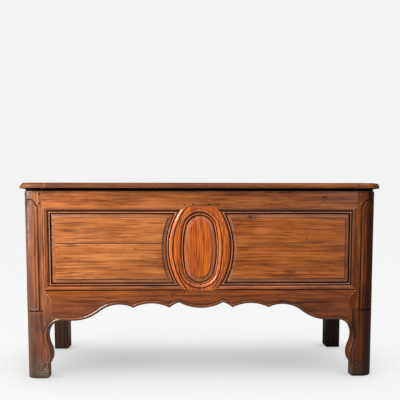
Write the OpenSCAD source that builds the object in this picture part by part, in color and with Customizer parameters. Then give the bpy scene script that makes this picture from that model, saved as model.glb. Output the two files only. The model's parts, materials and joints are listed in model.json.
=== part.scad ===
/* [Carcass] */
// Width over the posts
body_w = 1450; // [1300:10:1700]
// Depth from the front face to the back face
body_d = 600; // [480:10:720]
// Height of the posts, up to the underside of the lid
carcass_h = 785.5; // [750:0.5:850]
// Height of the panel openings, the same on the front, sides and back
opening_h = 291.5; // [284:0.5:305]
// Height of the top rails, down to the panel openings
top_rail_h = 101; // [90:1:115]

/* [Posts] */
// Width of a front post
front_post_w = 108.5; // [100:0.5:120]
// Depth of a front post
front_post_d = 56; // [54:1:70]
// Radius of the rounded outer corner of a front post
corner_r = 50; // [40:1:52]
// Width and depth of a rear post
rear_post = 70; // [60:1:85]

/* [Rails and muntins] */
// Thickness of the front rails and the centre muntin
front_t = 32; // [30:1:40]
// Thickness of the side rails
side_t = 30; // [28:1:36]
// Thickness of the back rails and the back muntin
back_t = 28; // [27:1:34]
// Height of the side and back bottom rails
low_rail_h = 100; // [85:1:120]
// Width of the back muntin
back_muntin_w = 90; // [70:1:120]

/* [Joinery] */
// Distance from an outer face to the panel groove
groove_in = 12.5; // [12:0.5:14]
// Width of the panel groove and thickness of every tenon
groove_w = 9; // [8:0.5:10]
// Depth of the panel groove
groove_deep = 12; // [8:1:14]
// Length of the tenons of the front rails
front_tenon = 60; // [55:1:70]
// Length of the side rail tenons in the front posts
short_tenon = 26; // [20:1:28]
// Length of the tenons in the rear posts and of the back muntin
rear_tenon = 40; // [30:1:44]
// Reach of the front muntin's tenons past the shoulders
muntin_tenon = 20; // [14:1:26]
// Distance of a tenon from the outer edge of its rail
tenon_in = 12; // [8:1:16]
// Distance of the apron's tenon from the level stretch of its lower edge
apron_tenon_in = 20; // [16:1:30]
// Clearance of a tenon or tongue on each face
fit = 0.1; // [0.05:0.05:0.2]
// Clearance at the end of a tenon or tongue
end_fit = 0.3; // [0.2:0.1:0.5]
// Distance of the outer peg of a tenon from the outer edge of its rail
peg_edge = 24; // [20:1:28]
// Distance between the two pegs of a tenon
peg_gap = 38; // [30:1:44]
// Diameter of an oak peg
peg_d = 7; // [6:0.5:9]
// Clearance round a peg or nail
peg_fit = 0.05; // [0.02:0.01:0.1]

/* [Mouldings] */
// Width of the moulding round the front openings
mould_w = 28.5; // [24:0.5:30]
// Width of the moulding on the curved sides of the muntin
curve_mould_w = 24; // [20:0.5:26]
// Width of the moulding round the oval
oval_mould_w = 17.5; // [14:0.5:19]
// Width of the bead along the edge of the apron and the legs
bead_w = 11; // [9:0.5:13]
// Width of the groove behind that bead
bead_groove_w = 3; // [2:0.5:4]
// Depth of the carved grooves
carve_deep = 2.5; // [1.5:0.5:3.5]

/* [Panels] */
// Height of a field below the face of the frame
field_in = 4.5; // [3:0.5:6]
// Small step at the edge of a field
field_step = 2; // [1:0.5:2.5]
// Width of the bevel round a field
bevel_w = 19; // [15:1:24]
// Height of the upper board's share of a front panel opening
upper_board_h = 124; // [100:1:180]

/* [Centre muntin] */
// Half width of the muntin at its widest, at the sight edge
muntin_half = 142; // [136:1:150]
// Radius of the curved sides of the muntin
muntin_r = 304; // [290:1:330]
// Half width of the tenons of the muntin
muntin_tenon_half = 80; // [70:1:84]
// Half width of the oval opening
oval_half_w = 71; // [66:1:74]
// Half height of the oval opening
oval_half_h = 142.5; // [136:0.5:145]
// Radius of the ends of the oval opening
oval_end_r = 59; // [56:1:62]
// Distance of the middle of the oval below the middle of the opening
oval_drop = 7.5; // [0:0.5:9]
// Width of the bevel round the oval field
oval_bevel_w = 25; // [18:1:28]

/* [Apron] */
// Depth of the apron below the openings at its ends
apron_h = 153; // [140:1:165]
// Depth of the apron at the middle of its centre lobe
lobe_h = 101.5; // [96:0.5:110]
// Half width of the centre lobe, out to the notch
lobe_half = 91; // [80:1:100]
// Height of the notch above the bottom of the lobe
notch_rise = 23.5; // [18:0.5:26]
// Distance of the inner cusp from the middle
cusp_in = 131; // [125:1:140]
// Distance of the outer cusp from the middle
cusp_out = 281; // [270:1:295]
// Depth of both cusps below the openings
cusp_h = 100; // [96:0.5:106]
// Rise of the arch between the cusps
arch_rise = 18; // [12:0.5:22]
// Rise of the outer arch above its cusp
outer_rise = 13.5; // [10:0.5:16]
// Distance from the outer cusp to the crown of the outer arch
outer_run = 58; // [50:1:64]
// Length of the level stretch next to the leg curve
level_run = 43; // [30:1:60]

/* [Legs] */
// Radius of the quarter curve from the apron into the leg
leg_curve_r = 64; // [56:1:68]
// Distance that the waist of the leg is cut back
waist_in = 20.5; // [16:0.5:26]
// Distance that the knee of the scroll is cut back
knee_in = 3; // [2:0.5:6]
// Height of the knee above the floor
knee_z = 93.5; // [84:0.5:102]
// Radius of the underside of the scroll
scroll_r = 60; // [54:1:66]
// Distance that the foot is cut back
foot_in = 18; // [14:0.5:22]
// Radius of the eye of the scroll
eye_r = 9; // [7:1:12]
// Height of the lower end of the carved corner panel
corner_low_z = 283.5; // [272:0.5:296]
// Distance from the top of the post down to the shoulders of that panel
corner_top_drop = 71.5; // [60:0.5:85]
// Width of that panel along the front, from the side face
corner_panel_x = 58; // [54:1:62]
// Width of that panel along the side, from the front face
corner_panel_y = 33; // [26:1:36]
// Rise of the pointed head of that panel
corner_peak = 24; // [16:1:30]

/* [Lid] */
// Thickness of the lid
lid_t = 21; // [20:1:26]
// Overhang of the lid at each end
lid_over_side = 18.5; // [15:0.5:32]
// Overhang of the lid at the front
lid_over_front = 24; // [15:1:32]
// Width of the rounded edge of the lid
lid_round_w = 16; // [12:1:20]
// Height of the square lip under that edge
lid_lip = 5; // [3:0.5:7]
// Width of the cleats at the ends of the lid
cleat_w = 115; // [95:1:130]
// Length of the tongues in the cleats
cleat_tongue = 25; // [20:1:32]
// Thickness of the tongues in the cleats
tongue_t = 8; // [6:0.5:9]
// Distance of the tongues from the front and back ends of a cleat
tongue_in = 30; // [24:1:40]
// Number of pegs through each cleat
cleat_pegs = 6; // [3:1:9]

/* [Floor] */
// Distance from the panel openings down to the underside of the floor boards
floor_drop = 45.5; // [45:0.5:52]
// Thickness of the floor boards
floor_t = 18; // [14:1:22]
// Width and height of the ledgers and the bearer under the floor
ledger = 25; // [20:1:26]
// Width of the bearer
bearer_w = 60; // [40:1:90]

/* [Hinges] */
// Distance of each hinge from the middle
hinge_x = 450; // [380:10:540]
// Radius of the rounded end of a strap
strap_round_r = 15.5; // [12:0.5:18]
// Thickness of the hinge iron
iron_t = 3; // [2.5:0.5:4]
// Width of the hinge leaves
leaf_w = 34; // [30:1:44]
// Height of the leaf on the back rail
leaf_h = 80; // [60:1:88]
// Length of the strap under the lid
strap_l = 270; // [230:10:340]
// Distance of the first strap nail from the back rail
strap_nail_in = 12; // [10:1:20]
// Distance of the last strap nail from the end of the strap
strap_nail_end = 24; // [18:1:30]
// Distance of the leaf nails from the top and the bottom of the leaf
leaf_nail_in = 19; // [16:1:22]
// Width of the strap at its far end
strap_end_w = 22; // [18:1:26]
// Radius of the hinge barrel
barrel_r = 5.5; // [5:0.5:7]
// Diameter of the hinge pin
pin_d = 5; // [4:0.5:6]
// Radial running clearance of the lid knuckle on its pin
run_fit = 0.08; // [0.05:0.01:0.1]
// Gap between neighbouring knuckles
knuckle_gap = 0.4; // [0.3:0.1:0.6]

/* [Nails] */
// Diameter of a forged nail
nail_d = 4; // [3:0.5:5]
// Diameter of the head of a forged nail
nail_head_d = 9; // [7:0.5:11]
// Thickness of the head of a forged nail
nail_head_t = 1.6; // [1:0.2:2.4]
// Length of a nail into the second piece
nail_bite = 14; // [10:1:16]

/* [Hidden] */
$fn = 96;
half_w = body_w / 2;
post_in = half_w - front_post_w;
mitre_x = post_in + mould_w;
open_top = carcass_h - top_rail_h;
open_bot = open_top - opening_h;
mid_z = (open_top + open_bot) / 2;
mould_top = open_top + mould_w;
mould_bot = open_bot - mould_w;
groove_back = groove_in + groove_w;
rear_in = half_w - rear_post;
rear_y = body_d - rear_post;
low_z = open_bot - low_rail_h;
floor_z = open_bot - floor_drop;
axis_back = barrel_r + 0.5;
hinge_reach = axis_back + barrel_r;
axis_y = body_d + axis_back;
front_y = lid_over_front - (lid_over_front + body_d + hinge_reach) / 2;
lid_half = half_w + lid_over_side;
lid_depth = body_d + lid_over_front;
lid_corner_r = corner_r + lid_over_side;
lid_top = carcass_h + lid_t;
board_d = lid_depth / 3;
cleat_x = lid_half - cleat_w;
over = 1;
steps = 8;
ear_drop = 34;
ear_z = mould_bot - ear_drop;

// Points along an arc, from angle a0 to angle a1.
function arc(c, r, a0, a1, n) =
    [for (i = [0:n]) let (a = a0 + (a1 - a0) * i / n) [c[0] + r * cos(a), c[1] + r * sin(a)]];
function arc_part(c, r, a0, a1, n) =
    [for (i = [0:n - 1]) let (a = a0 + (a1 - a0) * i / n) [c[0] + r * cos(a), c[1] + r * sin(a)]];
function angle_of(c, p) = atan2(p[1] - c[1], p[0] - c[0]);
function mirrored(points) = [for (i = [len(points) - 1:-1:0]) [-points[i][0], points[i][1]]];
function both_halves(points) = concat(points, [for (i = [len(points) - 1:-1:1])
    [-points[i][0], points[i][1]]]);

// Radius of a circle through the ends of a chord with the given half length and rise.
function rise_radius(half, rise) = (half * half + rise * rise) / (2 * rise);

// The meeting point of two circles that lies nearest to a given point.
function meet(c1, r1, c2, r2, near) =
    let (d = norm(c2 - c1))
    let (u = (c2 - c1) / d)
    let (along = (r1 * r1 - r2 * r2 + d * d) / (2 * d))
    let (off = sqrt(max(0, r1 * r1 - along * along)))
    let (p = c1 + along * u + off * [-u[1], u[0]])
    let (q = c1 + along * u - off * [-u[1], u[0]])
    norm(p - near) < norm(q - near) ? p : q;

// The moulding as width from the sight edge against depth below the face.
fillet_part = 0.17;
groove_part = 0.29;
ovolo_part = 0.95;
fillet_v = 7.5;
groove_v = 10.5;
ovolo_v = 9;
quirk_v = 1.8;
ovolo_turn = 60;
function mould_points(w) = concat(
    [[-3, -over], [-3, fillet_v], [fillet_part * w, fillet_v], [fillet_part * w, groove_v],
        [groove_part * w, groove_v]],
    [for (i = [steps:-1:0]) let (a = ovolo_turn * i / steps)
        [w * (ovolo_part - (ovolo_part - groove_part) * sin(a) / sin(ovolo_turn)),
            quirk_v + (ovolo_v - quirk_v) * (1 - cos(a)) / (1 - cos(ovolo_turn))]],
    [[w, quirk_v], [w, -over]]);

// The bevel of a panel as width from the sight edge against depth below the face.
tongue_front = groove_in + fit;
tongue_back = groove_back - fit;
curved_step = field_step - 0.3;
function bevel_points(w, step) = [
    [-groove_deep - 5, field_in - over], [w, field_in - over], [w, field_in + step],
    [0.5, tongue_front], [-groove_deep - 5, tongue_front]];

// Front coordinates run from the front face backwards.
module from_front() {
    translate([0, front_y, 0]) children();
}
module xz_prism(y0, y1) {
    translate([0, y1, 0]) rotate([90, 0, 0]) linear_extrude(y1 - y0) children();
}
module yz_prism(x0, x1) {
    translate([x0, 0, 0]) rotate([90, 0, 90]) linear_extrude(x1 - x0) children();
}
module block(x0, x1, y0, y1, z0, z1) {
    translate([x0, y0, z0]) cube([x1 - x0, y1 - y0, z1 - z0]);
}
module left_side() {
    mirror([1, 0, 0]) children();
}
module both_sides() {
    children();
    left_side() children();
}

// Sweeps a profile of width against depth round a circle in the front plane.
module swept(c, r, way, a0, a1, points) {
    translate([c[0], 0, c[1]]) rotate([90, 0, 0]) rotate([0, 0, a0])
        rotate_extrude(angle = a1 - a0) polygon([for (p = points) [r + way * p[0], -p[1]]]);
}

// The oval is drawn with four arcs: two long sides and two ends.
function side_radius(a, b, r) = ((a - r) * (a - r) + b * b - r * r) / (2 * (b - r));
oval_z = mid_z - oval_drop;
oval_side_r = side_radius(oval_half_h, oval_half_w, oval_end_r);
oval_side_c = oval_side_r - oval_half_w;
oval_end_c = oval_half_h - oval_end_r;
oval_turn = atan2(oval_end_c, oval_side_c);
function oval_outline(grow) =
    let (side = arc([-oval_side_c, oval_z], oval_side_r + grow, -oval_turn, oval_turn, 16))
    let (end = arc([0, oval_z + oval_end_c], oval_end_r + grow, oval_turn, 180 - oval_turn, 20))
    concat(side, [for (i = [1:19]) end[i]],
        [for (p = side) [-p[0], 2 * oval_z - p[1]]],
        [for (i = [1:19]) [-end[i][0], 2 * oval_z - end[i][1]]]);
module oval_side_zones() {
    far = body_w * [cos(oval_turn), sin(oval_turn)];
    both_sides() xz_prism(-over, front_t + over) polygon([[-oval_side_c, oval_z],
        [far[0] - oval_side_c, oval_z - far[1]], [far[0] - oval_side_c, oval_z + far[1]]]);
}
module oval_sides(points) {
    for (turn = [0, 180])
        translate([0, 0, oval_z]) rotate([0, turn, 0]) translate([0, 0, -oval_z])
            swept([-oval_side_c, oval_z], oval_side_r, 1, -oval_turn, oval_turn, points);
}
module oval_ends(points) {
    for (turn = [0, 180])
        translate([0, 0, oval_z]) rotate([0, turn, 0]) translate([0, 0, -oval_z])
            swept([0, oval_z + oval_end_c], oval_end_r, 1, oval_turn, 180 - oval_turn, points);
}

// The lower edge of the apron and the leg is a chain of arcs. Each is a centre and a radius, and
// an inset into the wood makes an arch larger and a lobe smaller.
lobe_z = open_bot - lobe_h;
cusp_z = open_bot - cusp_h;
level_z = open_bot - apron_h;
notch = [lobe_half, lobe_z + notch_rise];
cusp_a = [cusp_in, cusp_z];
cusp_b = [cusp_out, cusp_z];
lobe_r = rise_radius(lobe_half, notch_rise);
lobe_c = [0, lobe_z + lobe_r];
flank_r = 110;
flank_d = norm(cusp_a - notch);
flank_c = (notch + cusp_a) / 2
    - sqrt(flank_r * flank_r - flank_d * flank_d / 4) * [notch[1] - cusp_z, cusp_in - lobe_half] / flank_d;
arch_r = rise_radius((cusp_out - cusp_in) / 2, arch_rise);
arch_c = [(cusp_in + cusp_out) / 2, cusp_z + arch_rise - arch_r];
outer_r = rise_radius(outer_run, outer_rise);
outer_c = [cusp_out + outer_run, cusp_z + outer_rise - outer_r];
leg_c = [post_in + waist_in - leg_curve_r, level_z - leg_curve_r];
sweep_x = leg_c[0] - level_run;
sweep_r = (pow(sweep_x - outer_c[0], 2) + pow(level_z - outer_c[1], 2) - outer_r * outer_r)
    / (2 * (outer_r - level_z + outer_c[1]));
sweep_c = [sweep_x, level_z + sweep_r];
waist_z = leg_c[1];

function apron_edge(inset) =
    let (p0 = meet(lobe_c, lobe_r - inset, flank_c, flank_r + inset, notch))
    let (p1 = meet(flank_c, flank_r + inset, arch_c, arch_r + inset, cusp_a))
    let (p2 = meet(arch_c, arch_r + inset, outer_c, outer_r + inset, cusp_b))
    let (p3 = meet(outer_c, outer_r + inset, sweep_c, sweep_r - inset, (outer_c + sweep_c) / 2))
    let (leg_a = acos((post_in - leg_c[0]) / (leg_curve_r + inset)))
    concat(
        arc_part(lobe_c, lobe_r - inset, -90, angle_of(lobe_c, p0), 10),
        arc_part(flank_c, flank_r + inset, angle_of(flank_c, p0), angle_of(flank_c, p1), 4),
        arc_part(arch_c, arch_r + inset, angle_of(arch_c, p1), angle_of(arch_c, p2), 16),
        arc_part(outer_c, outer_r + inset, angle_of(outer_c, p2), angle_of(outer_c, p3), 16),
        arc(sweep_c, sweep_r - inset, angle_of(sweep_c, p3), -90, 12),
        arc(leg_c, leg_curve_r + inset, 90, leg_a, 12));

// The inner edge of a front leg, from the apron down to the floor.
knee_x = post_in + knee_in;
waist_x = post_in + waist_in;
foot_x = post_in + foot_in;
knee_drop = waist_z - knee_z;
bend_sum = (pow(waist_x - knee_x, 2) + knee_drop * knee_drop) / (2 * (waist_x - knee_x));
waist_r = bend_sum / 2;
knee_r = bend_sum - waist_r;
bend_turn = asin(knee_drop / bend_sum);
scroll_turn = acos((knee_x + scroll_r - foot_x) / scroll_r);
foot_round = 7;
function leg_edge(inset, start_a) = concat(
    arc_part(leg_c, leg_curve_r + inset, start_a, 0, 10),
    arc_part([waist_x - waist_r, waist_z], waist_r + inset, 0, -bend_turn, 8),
    arc_part([knee_x + knee_r, knee_z], knee_r - inset, 180 - bend_turn, 180, 8),
    arc([knee_x + scroll_r, knee_z], scroll_r - inset, 180, 180 + scroll_turn, 8));
function leg_start(inset) = acos((post_in - leg_c[0]) / (leg_curve_r + inset));

// Places of the pegs in the front frame, as distance from the middle and height.
peg_in = 11;
peg_x = mitre_x + peg_in;
apron_peg_gap = 60;
apron_peg_in = 21;
apron_peg_z = level_z + apron_tenon_in + apron_peg_in;
front_pegs = [for (z = [carcass_h - peg_edge, carcass_h - peg_edge - peg_gap, apron_peg_z + apron_peg_gap,
    apron_peg_z]) [peg_x, z]];
peg_stop = 4;
front_peg_l = front_t - peg_stop;
muntin_pegs_x = [33, 68];
muntin_peg_z = 5.5;
muntin_pegs_at = [for (x = muntin_pegs_x, z = [mould_top + muntin_peg_z, mould_bot - muntin_peg_z])
    [x, z]];
side_peg_z = [carcass_h - peg_edge, carcass_h - peg_edge - peg_gap, open_bot - peg_edge,
    open_bot - peg_edge - peg_gap];
side_peg_l = side_t - peg_stop;
side_peg_y = [front_post_d - short_tenon / 2, rear_y + rear_tenon / 2];
back_peg_x = rear_in + rear_tenon / 2;
back_peg_l = back_t - peg_stop;
back_muntin_peg = [for (z = [open_top + rear_tenon / 2, open_bot - rear_tenon / 2])
    [back_muntin_w / 4, z]];

module peg(length, spare) {
    cylinder(h = length, d = peg_d + 2 * spare);
}
module front_peg_set(spots, length, spare, lead) {
    both_sides() for (p = spots)
        translate([p[0], length, p[1]]) rotate([90, 0, 0]) peg(length + lead, spare);
}
module front_holes() {
    front_peg_set(front_pegs, front_peg_l + end_fit, peg_fit, over);
}
module muntin_holes() {
    front_peg_set(muntin_pegs_at, front_peg_l + end_fit, peg_fit, over);
}
module side_peg_set(spare, lead) {
    for (y = side_peg_y, z = side_peg_z)
        translate([half_w - side_peg_l - (lead > 0 ? end_fit : 0), y, z]) rotate([0, 90, 0])
            peg(side_peg_l + lead + (lead > 0 ? end_fit : 0), spare);
}
module back_peg_set(spots, spare, lead) {
    both_sides() for (p = spots)
        translate([p[0], body_d + lead, p[1]]) rotate([90, 0, 0])
            peg(back_peg_l + lead + (lead > 0 ? end_fit : 0), spare);
}
back_frame_spots = [for (z = side_peg_z) [back_peg_x, z]];

// A post is the meeting of its plan and its front outline.
module front_post_plan(inset) {
    difference() {
        translate([post_in - over, inset]) square([front_post_w + over - inset, front_post_d - inset]);
        translate([half_w - corner_r, -over]) square([corner_r + over, corner_r + over]);
    }
    translate([half_w - corner_r, corner_r]) intersection() {
        circle(r = corner_r - inset);
        translate([0, -corner_r]) square(corner_r);
    }
}
module front_post_outline() {
    polygon(concat(
        [[half_w + over, foot_round], [half_w + over, carcass_h], [post_in, carcass_h]],
        leg_edge(0, leg_start(0)),
        [[foot_x, foot_round], [foot_x + foot_round / 2, 1.5], [foot_x + foot_round, 0],
            [half_w - foot_round, 0], [half_w - foot_round / 4, 1.5]]));
}
module rail_ears() {
    block(post_in - over, mitre_x, -over, groove_in, mould_top, carcass_h + over);
    xz_prism(-over, groove_in) polygon([[post_in - over, mould_top + over], [mitre_x, mould_top + over],
        [mitre_x, mould_top], [post_in, open_top], [post_in - over, open_top]]);
    xz_prism(-over, groove_in) polygon([[post_in - over, open_bot], [post_in, open_bot],
        [mitre_x, mould_bot], [post_in, ear_z], [post_in - over, ear_z]]);
}

// The carved panel wraps the rounded corner. Its head is a pointed bracket.
head_z = carcass_h - corner_top_drop;
head_half = 31.5;
head_shoulder = 9;
head_turn = 30;
function head_line(half, shoulder, peak) =
    let (run = half - shoulder)
    let (rise = peak - shoulder)
    let (r = (run * run + rise * rise) / (2 * rise))
    let (left = concat(arc_part([shoulder - half, head_z], shoulder, 180, 90, 5),
        arc_part([shoulder - half, head_z + shoulder + r], r, -90, atan2(rise - r, run), 6)))
    concat(left, [[0, head_z + peak]], mirrored(left));
module corner_shell() {
    difference() {
        translate([half_w - corner_panel_x, -over])
            square([corner_panel_x + over, corner_panel_y + over]);
        front_post_plan(carve_deep);
    }
}
module corner_groove() {
    w = bead_groove_w;
    translate([0, 0, corner_low_z]) linear_extrude(head_z - corner_low_z) intersection() {
        corner_shell();
        union() {
            translate([half_w - corner_panel_x, -over]) square([w, corner_r]);
            translate([half_w - corner_r, corner_panel_y - w]) square([corner_r + over, w]);
        }
    }
    translate([0, 0, corner_low_z]) linear_extrude(w) corner_shell();
    intersection() {
        translate([0, 0, head_z]) linear_extrude(corner_peak + over) corner_shell();
        translate([half_w - corner_r, corner_r, 0]) rotate([0, 0, head_turn])
            xz_prism(-2 * corner_r, 0) difference() {
                polygon(head_line(head_half, head_shoulder, corner_peak));
                polygon(concat(head_line(head_half - w, head_shoulder - w, corner_peak - 1.3 * w),
                    [[head_half - w, head_z - over], [w - head_half, head_z - over]]));
            }
    }
}

// The bead runs down the leg and ends in the eye of the scroll.
eye_in = 21;
eye_drop = 27;
eye_x = foot_x + eye_in;
eye_z = knee_z - eye_drop;
module leg_bead_groove() {
    outer = leg_edge(bead_w, leg_start(bead_w));
    inner = leg_edge(bead_w + bead_groove_w, leg_start(bead_w + bead_groove_w));
    xz_prism(-over, carve_deep) {
        polygon(concat([[post_in - over, outer[0][1]]], outer,
            [for (i = [len(inner) - 1:-1:0]) inner[i]], [[post_in - over, inner[0][1]]]));
        translate([eye_x, eye_z]) difference() {
            circle(r = eye_r);
            circle(r = eye_r - bead_groove_w);
        }
    }
}
module front_post() {
    difference() {
        intersection() {
            xz_prism(-over, front_post_d + over) front_post_outline();
            linear_extrude(carcass_h) front_post_plan(0);
        }
        rail_ears();
        translate([0, 0, mould_bot]) linear_extrude(mould_top - mould_bot)
            polygon([for (p = mould_points(mould_w)) [post_in + p[0], p[1]]]);
        block(post_in - over, post_in + groove_deep, groove_in, groove_back,
            open_bot - groove_deep, open_top + groove_deep);
        block(post_in - over, post_in + front_tenon + end_fit, groove_in - fit, groove_back + fit,
            open_top + groove_deep - fit, carcass_h - tenon_in + fit);
        block(post_in - over, post_in + front_tenon + end_fit, groove_in - fit, groove_back + fit,
            level_z + apron_tenon_in - fit, open_bot - groove_deep + fit);
        side_joint_cuts(front_post_d - short_tenon - end_fit, front_post_d + over,
            front_post_d - groove_deep, front_post_d + over);
        front_holes();
        side_peg_set(peg_fit, over);
        corner_groove();
        leg_bead_groove();
    }
}

// The mortises and the groove that the side frame needs in a post.
module side_joint_cuts(y0, y1, groove_y0, groove_y1) {
    x0 = half_w - groove_back - fit;
    x1 = half_w - groove_in + fit;
    block(x0, x1, y0, y1, open_top + groove_deep - fit, carcass_h - tenon_in + fit);
    block(x0, x1, y0, y1, low_z + tenon_in - fit, open_bot - groove_deep + fit);
    block(half_w - groove_back, half_w - groove_in, groove_y0, groove_y1,
        open_bot - groove_deep, open_top + groove_deep);
}
module rear_post_piece() {
    difference() {
        block(rear_in, half_w, rear_y, body_d, 0, carcass_h);
        side_joint_cuts(rear_y - over, rear_y + rear_tenon + end_fit, rear_y - over,
            rear_y + groove_deep);
        block(rear_in - over, rear_in + groove_deep, body_d - groove_back, body_d - groove_in,
            open_bot - groove_deep, open_top + groove_deep);
        for (z = [[open_top + groove_deep, carcass_h - tenon_in], [low_z + tenon_in, open_bot - groove_deep]])
            block(rear_in - over, rear_in + rear_tenon + end_fit, body_d - groove_back - fit,
                body_d - groove_in + fit, z[0] - fit, z[1] + fit);
        side_peg_set(peg_fit, over);
        back_peg_set(back_frame_spots, peg_fit, over);
        rear_foot_round();
    }
}
module rear_foot_round() {
    r = 3;
    for (x = [rear_in, half_w])
        translate([x, rear_y - over, 0]) rotate([0, 45, 0])
            translate([-r, 0, -r]) cube([2 * r, rear_post + 2 * over, 2 * r]);
}

module front_post_left() {
    color("#8a5438") from_front() left_side() front_post();
}
module front_post_right() {
    color("#8a5438") from_front() front_post();
}
module rear_post_left() {
    color("#3c2720") from_front() left_side() rear_post_piece();
}
module rear_post_right() {
    color("#3c2720") from_front() rear_post_piece();
}

// The curved side of the muntin meets the straight moulding along a mitre.
muntin_c = [muntin_half - muntin_r, mid_z];
function muntin_x(t) = let (z = open_top + mould_w * t)
    muntin_c[0] + sqrt(pow(muntin_r - curve_mould_w * t, 2) - pow(z - mid_z, 2));
mitre_line = [for (i = [0:4]) [muntin_x(i / 4), open_top + mould_w * i / 4]];
module muntin_end_2d() {
    polygon(concat(mitre_line, mirrored(mitre_line)));
}
module at_both_ends() {
    children();
    translate([0, 0, 2 * mid_z]) mirror([0, 0, 1]) children();
}
module muntin_tenon(spare) {
    block(-muntin_tenon_half - spare, muntin_tenon_half + spare, groove_in + fit - spare,
        groove_back - fit + spare, open_top - over, mould_top + muntin_tenon + end_fit * sign(spare));
}
module rail_groove() {
    block(-post_in - over, post_in + over, groove_in, groove_back, open_top - over,
        open_top + groove_deep);
}
module straight_mould() {
    yz_prism(-mitre_x - over, mitre_x + over)
        polygon([for (p = mould_points(mould_w)) [p[1], open_top + p[0]]]);
}

module top_rail_front() {
    xz_prism(0, groove_in) polygon([[-post_in, open_top], [post_in, open_top], [mitre_x, mould_top],
        [mitre_x, carcass_h], [-mitre_x, carcass_h], [-mitre_x, mould_top]]);
    block(-post_in, post_in, groove_in, front_t, open_top, carcass_h);
    both_sides() block(post_in - over, post_in + front_tenon, groove_in, groove_back,
        open_top + groove_deep, carcass_h - tenon_in);
}
module front_top_rail() {
    color("#a5603a") from_front() difference() {
        top_rail_front();
        straight_mould();
        rail_groove();
        muntin_tenon(fit);
        xz_prism(-over, groove_in) muntin_end_2d();
        front_holes();
        muntin_holes();
    }
}

module apron_outline() {
    ears = [[post_in, ear_z], [mitre_x, mould_bot], [post_in, open_bot]];
    polygon(both_halves(concat(apron_edge(0), ears)));
}
module apron_back_outline() {
    polygon(both_halves(concat(apron_edge(0), [[post_in, open_bot]])));
}
module apron_bead_groove() {
    outer = apron_edge(bead_w);
    inner = apron_edge(bead_w + bead_groove_w);
    both_sides() xz_prism(-over, carve_deep)
        polygon(concat([[-over, outer[0][1]]], outer, [[post_in + over, outer[len(outer) - 1][1]],
            [post_in + over, inner[len(inner) - 1][1]]], [for (i = [len(inner) - 1:-1:0]) inner[i]],
            [[-over, inner[0][1]]]));
}
module front_apron_rail() {
    color("#8b4a2b") from_front() difference() {
        union() {
            xz_prism(0, groove_in) apron_outline();
            xz_prism(groove_in, front_t) apron_back_outline();
            both_sides() block(post_in - over, post_in + front_tenon, groove_in, groove_back,
                level_z + apron_tenon_in, open_bot - groove_deep);
        }
        translate([0, 0, 2 * mid_z]) mirror([0, 0, 1]) {
            straight_mould();
            rail_groove();
            muntin_tenon(fit);
            xz_prism(-over, groove_in) muntin_end_2d();
        }
        front_holes();
        muntin_holes();
        apron_bead_groove();
        ledger_nail_set_front(peg_fit);
    }
}

// The muntin is one board with curved sides, and the oval is carved in its face.
oval_cut = concat(
    [[-oval_bevel_w, -over], [-oval_bevel_w, field_in + field_step], [0, groove_in], [0, fillet_v]],
    [for (i = [2:len(mould_points(oval_mould_w)) - 1]) mould_points(oval_mould_w)[i]]);
module muntin_body() {
    xz_prism(0, front_t) intersection() {
        translate(muntin_c) circle(r = muntin_r);
        translate([-muntin_c[0], mid_z]) circle(r = muntin_r);
        translate([-muntin_r, open_bot]) square([2 * muntin_r, opening_h]);
    }
    at_both_ends() {
        xz_prism(0, groove_in) muntin_end_2d();
        muntin_tenon(0);
    }
}
module muntin_panel_groove() {
    turn = asin(opening_h / 2 / (muntin_r - groove_deep)) + 3;
    xz_prism(groove_in, groove_back) intersection() {
        polygon(concat(arc(muntin_c, muntin_r + 2 * over, -turn, turn, 12),
            arc(muntin_c, muntin_r - groove_deep, turn, -turn, 32)));
        translate([0, open_bot]) square([muntin_r, opening_h]);
    }
}
module centre_muntin() {
    color("#a85a30") from_front() difference() {
        union() {
            difference() {
                intersection() {
                    muntin_body();
                    oval_side_zones();
                }
                oval_sides(oval_cut);
            }
            difference() {
                muntin_body();
                oval_side_zones();
                oval_ends(oval_cut);
            }
        }
        xz_prism(-over, field_in) polygon(oval_outline(1 - oval_bevel_w));
        both_sides() {
            swept(muntin_c, muntin_r, -1, -60, 60, mould_points(curve_mould_w));
            muntin_panel_groove();
        }
        muntin_holes();
    }
}

// A forged nail points along +Z and its head lies below the origin.
module nail(through, bite, spare) {
    cylinder(h = through + bite + (spare > 0 ? end_fit : 0), d = nail_d + 2 * spare);
    translate([0, 0, -nail_head_t]) cylinder(h = nail_head_t + 0.01, d = nail_head_d);
}

// A front panel is two boards with their grain along the chest.
panel_z0 = open_bot - groove_deep + end_fit;
panel_z1 = open_top + groove_deep - end_fit;
joint_z = open_top - upper_board_h;
module front_panel() {
    x1 = post_in + groove_deep - end_fit;
    difference() {
        xz_prism(field_in, tongue_back) difference() {
            translate([0, panel_z0]) square([x1, panel_z1 - panel_z0]);
            translate(muntin_c) circle(r = muntin_r - groove_deep + end_fit);
        }
        swept(muntin_c, muntin_r, 1, -60, 60, bevel_points(bevel_w, curved_step));
        linear_extrude(carcass_h)
            polygon([for (p = bevel_points(bevel_w, field_step)) [post_in - p[0], p[1]]]);
        at_both_ends() yz_prism(0, x1 + over)
            polygon([for (p = bevel_points(bevel_w, field_step)) [p[1], open_top - p[0]]]);
    }
}
module upper_half() {
    intersection() {
        children();
        block(0, half_w, 0, body_d, joint_z, carcass_h);
    }
}
module lower_half() {
    intersection() {
        children();
        block(0, half_w, 0, body_d, 0, joint_z);
    }
}
module front_panel_left_upper() {
    color("#c4713c") from_front() left_side() upper_half() front_panel();
}
module front_panel_left_lower() {
    color("#c4713c") from_front() left_side() lower_half() front_panel();
}
module front_panel_right_upper() {
    color("#b0622f") from_front() upper_half() front_panel();
}
module front_panel_right_lower() {
    color("#b0622f") from_front() lower_half() front_panel();
}

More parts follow.
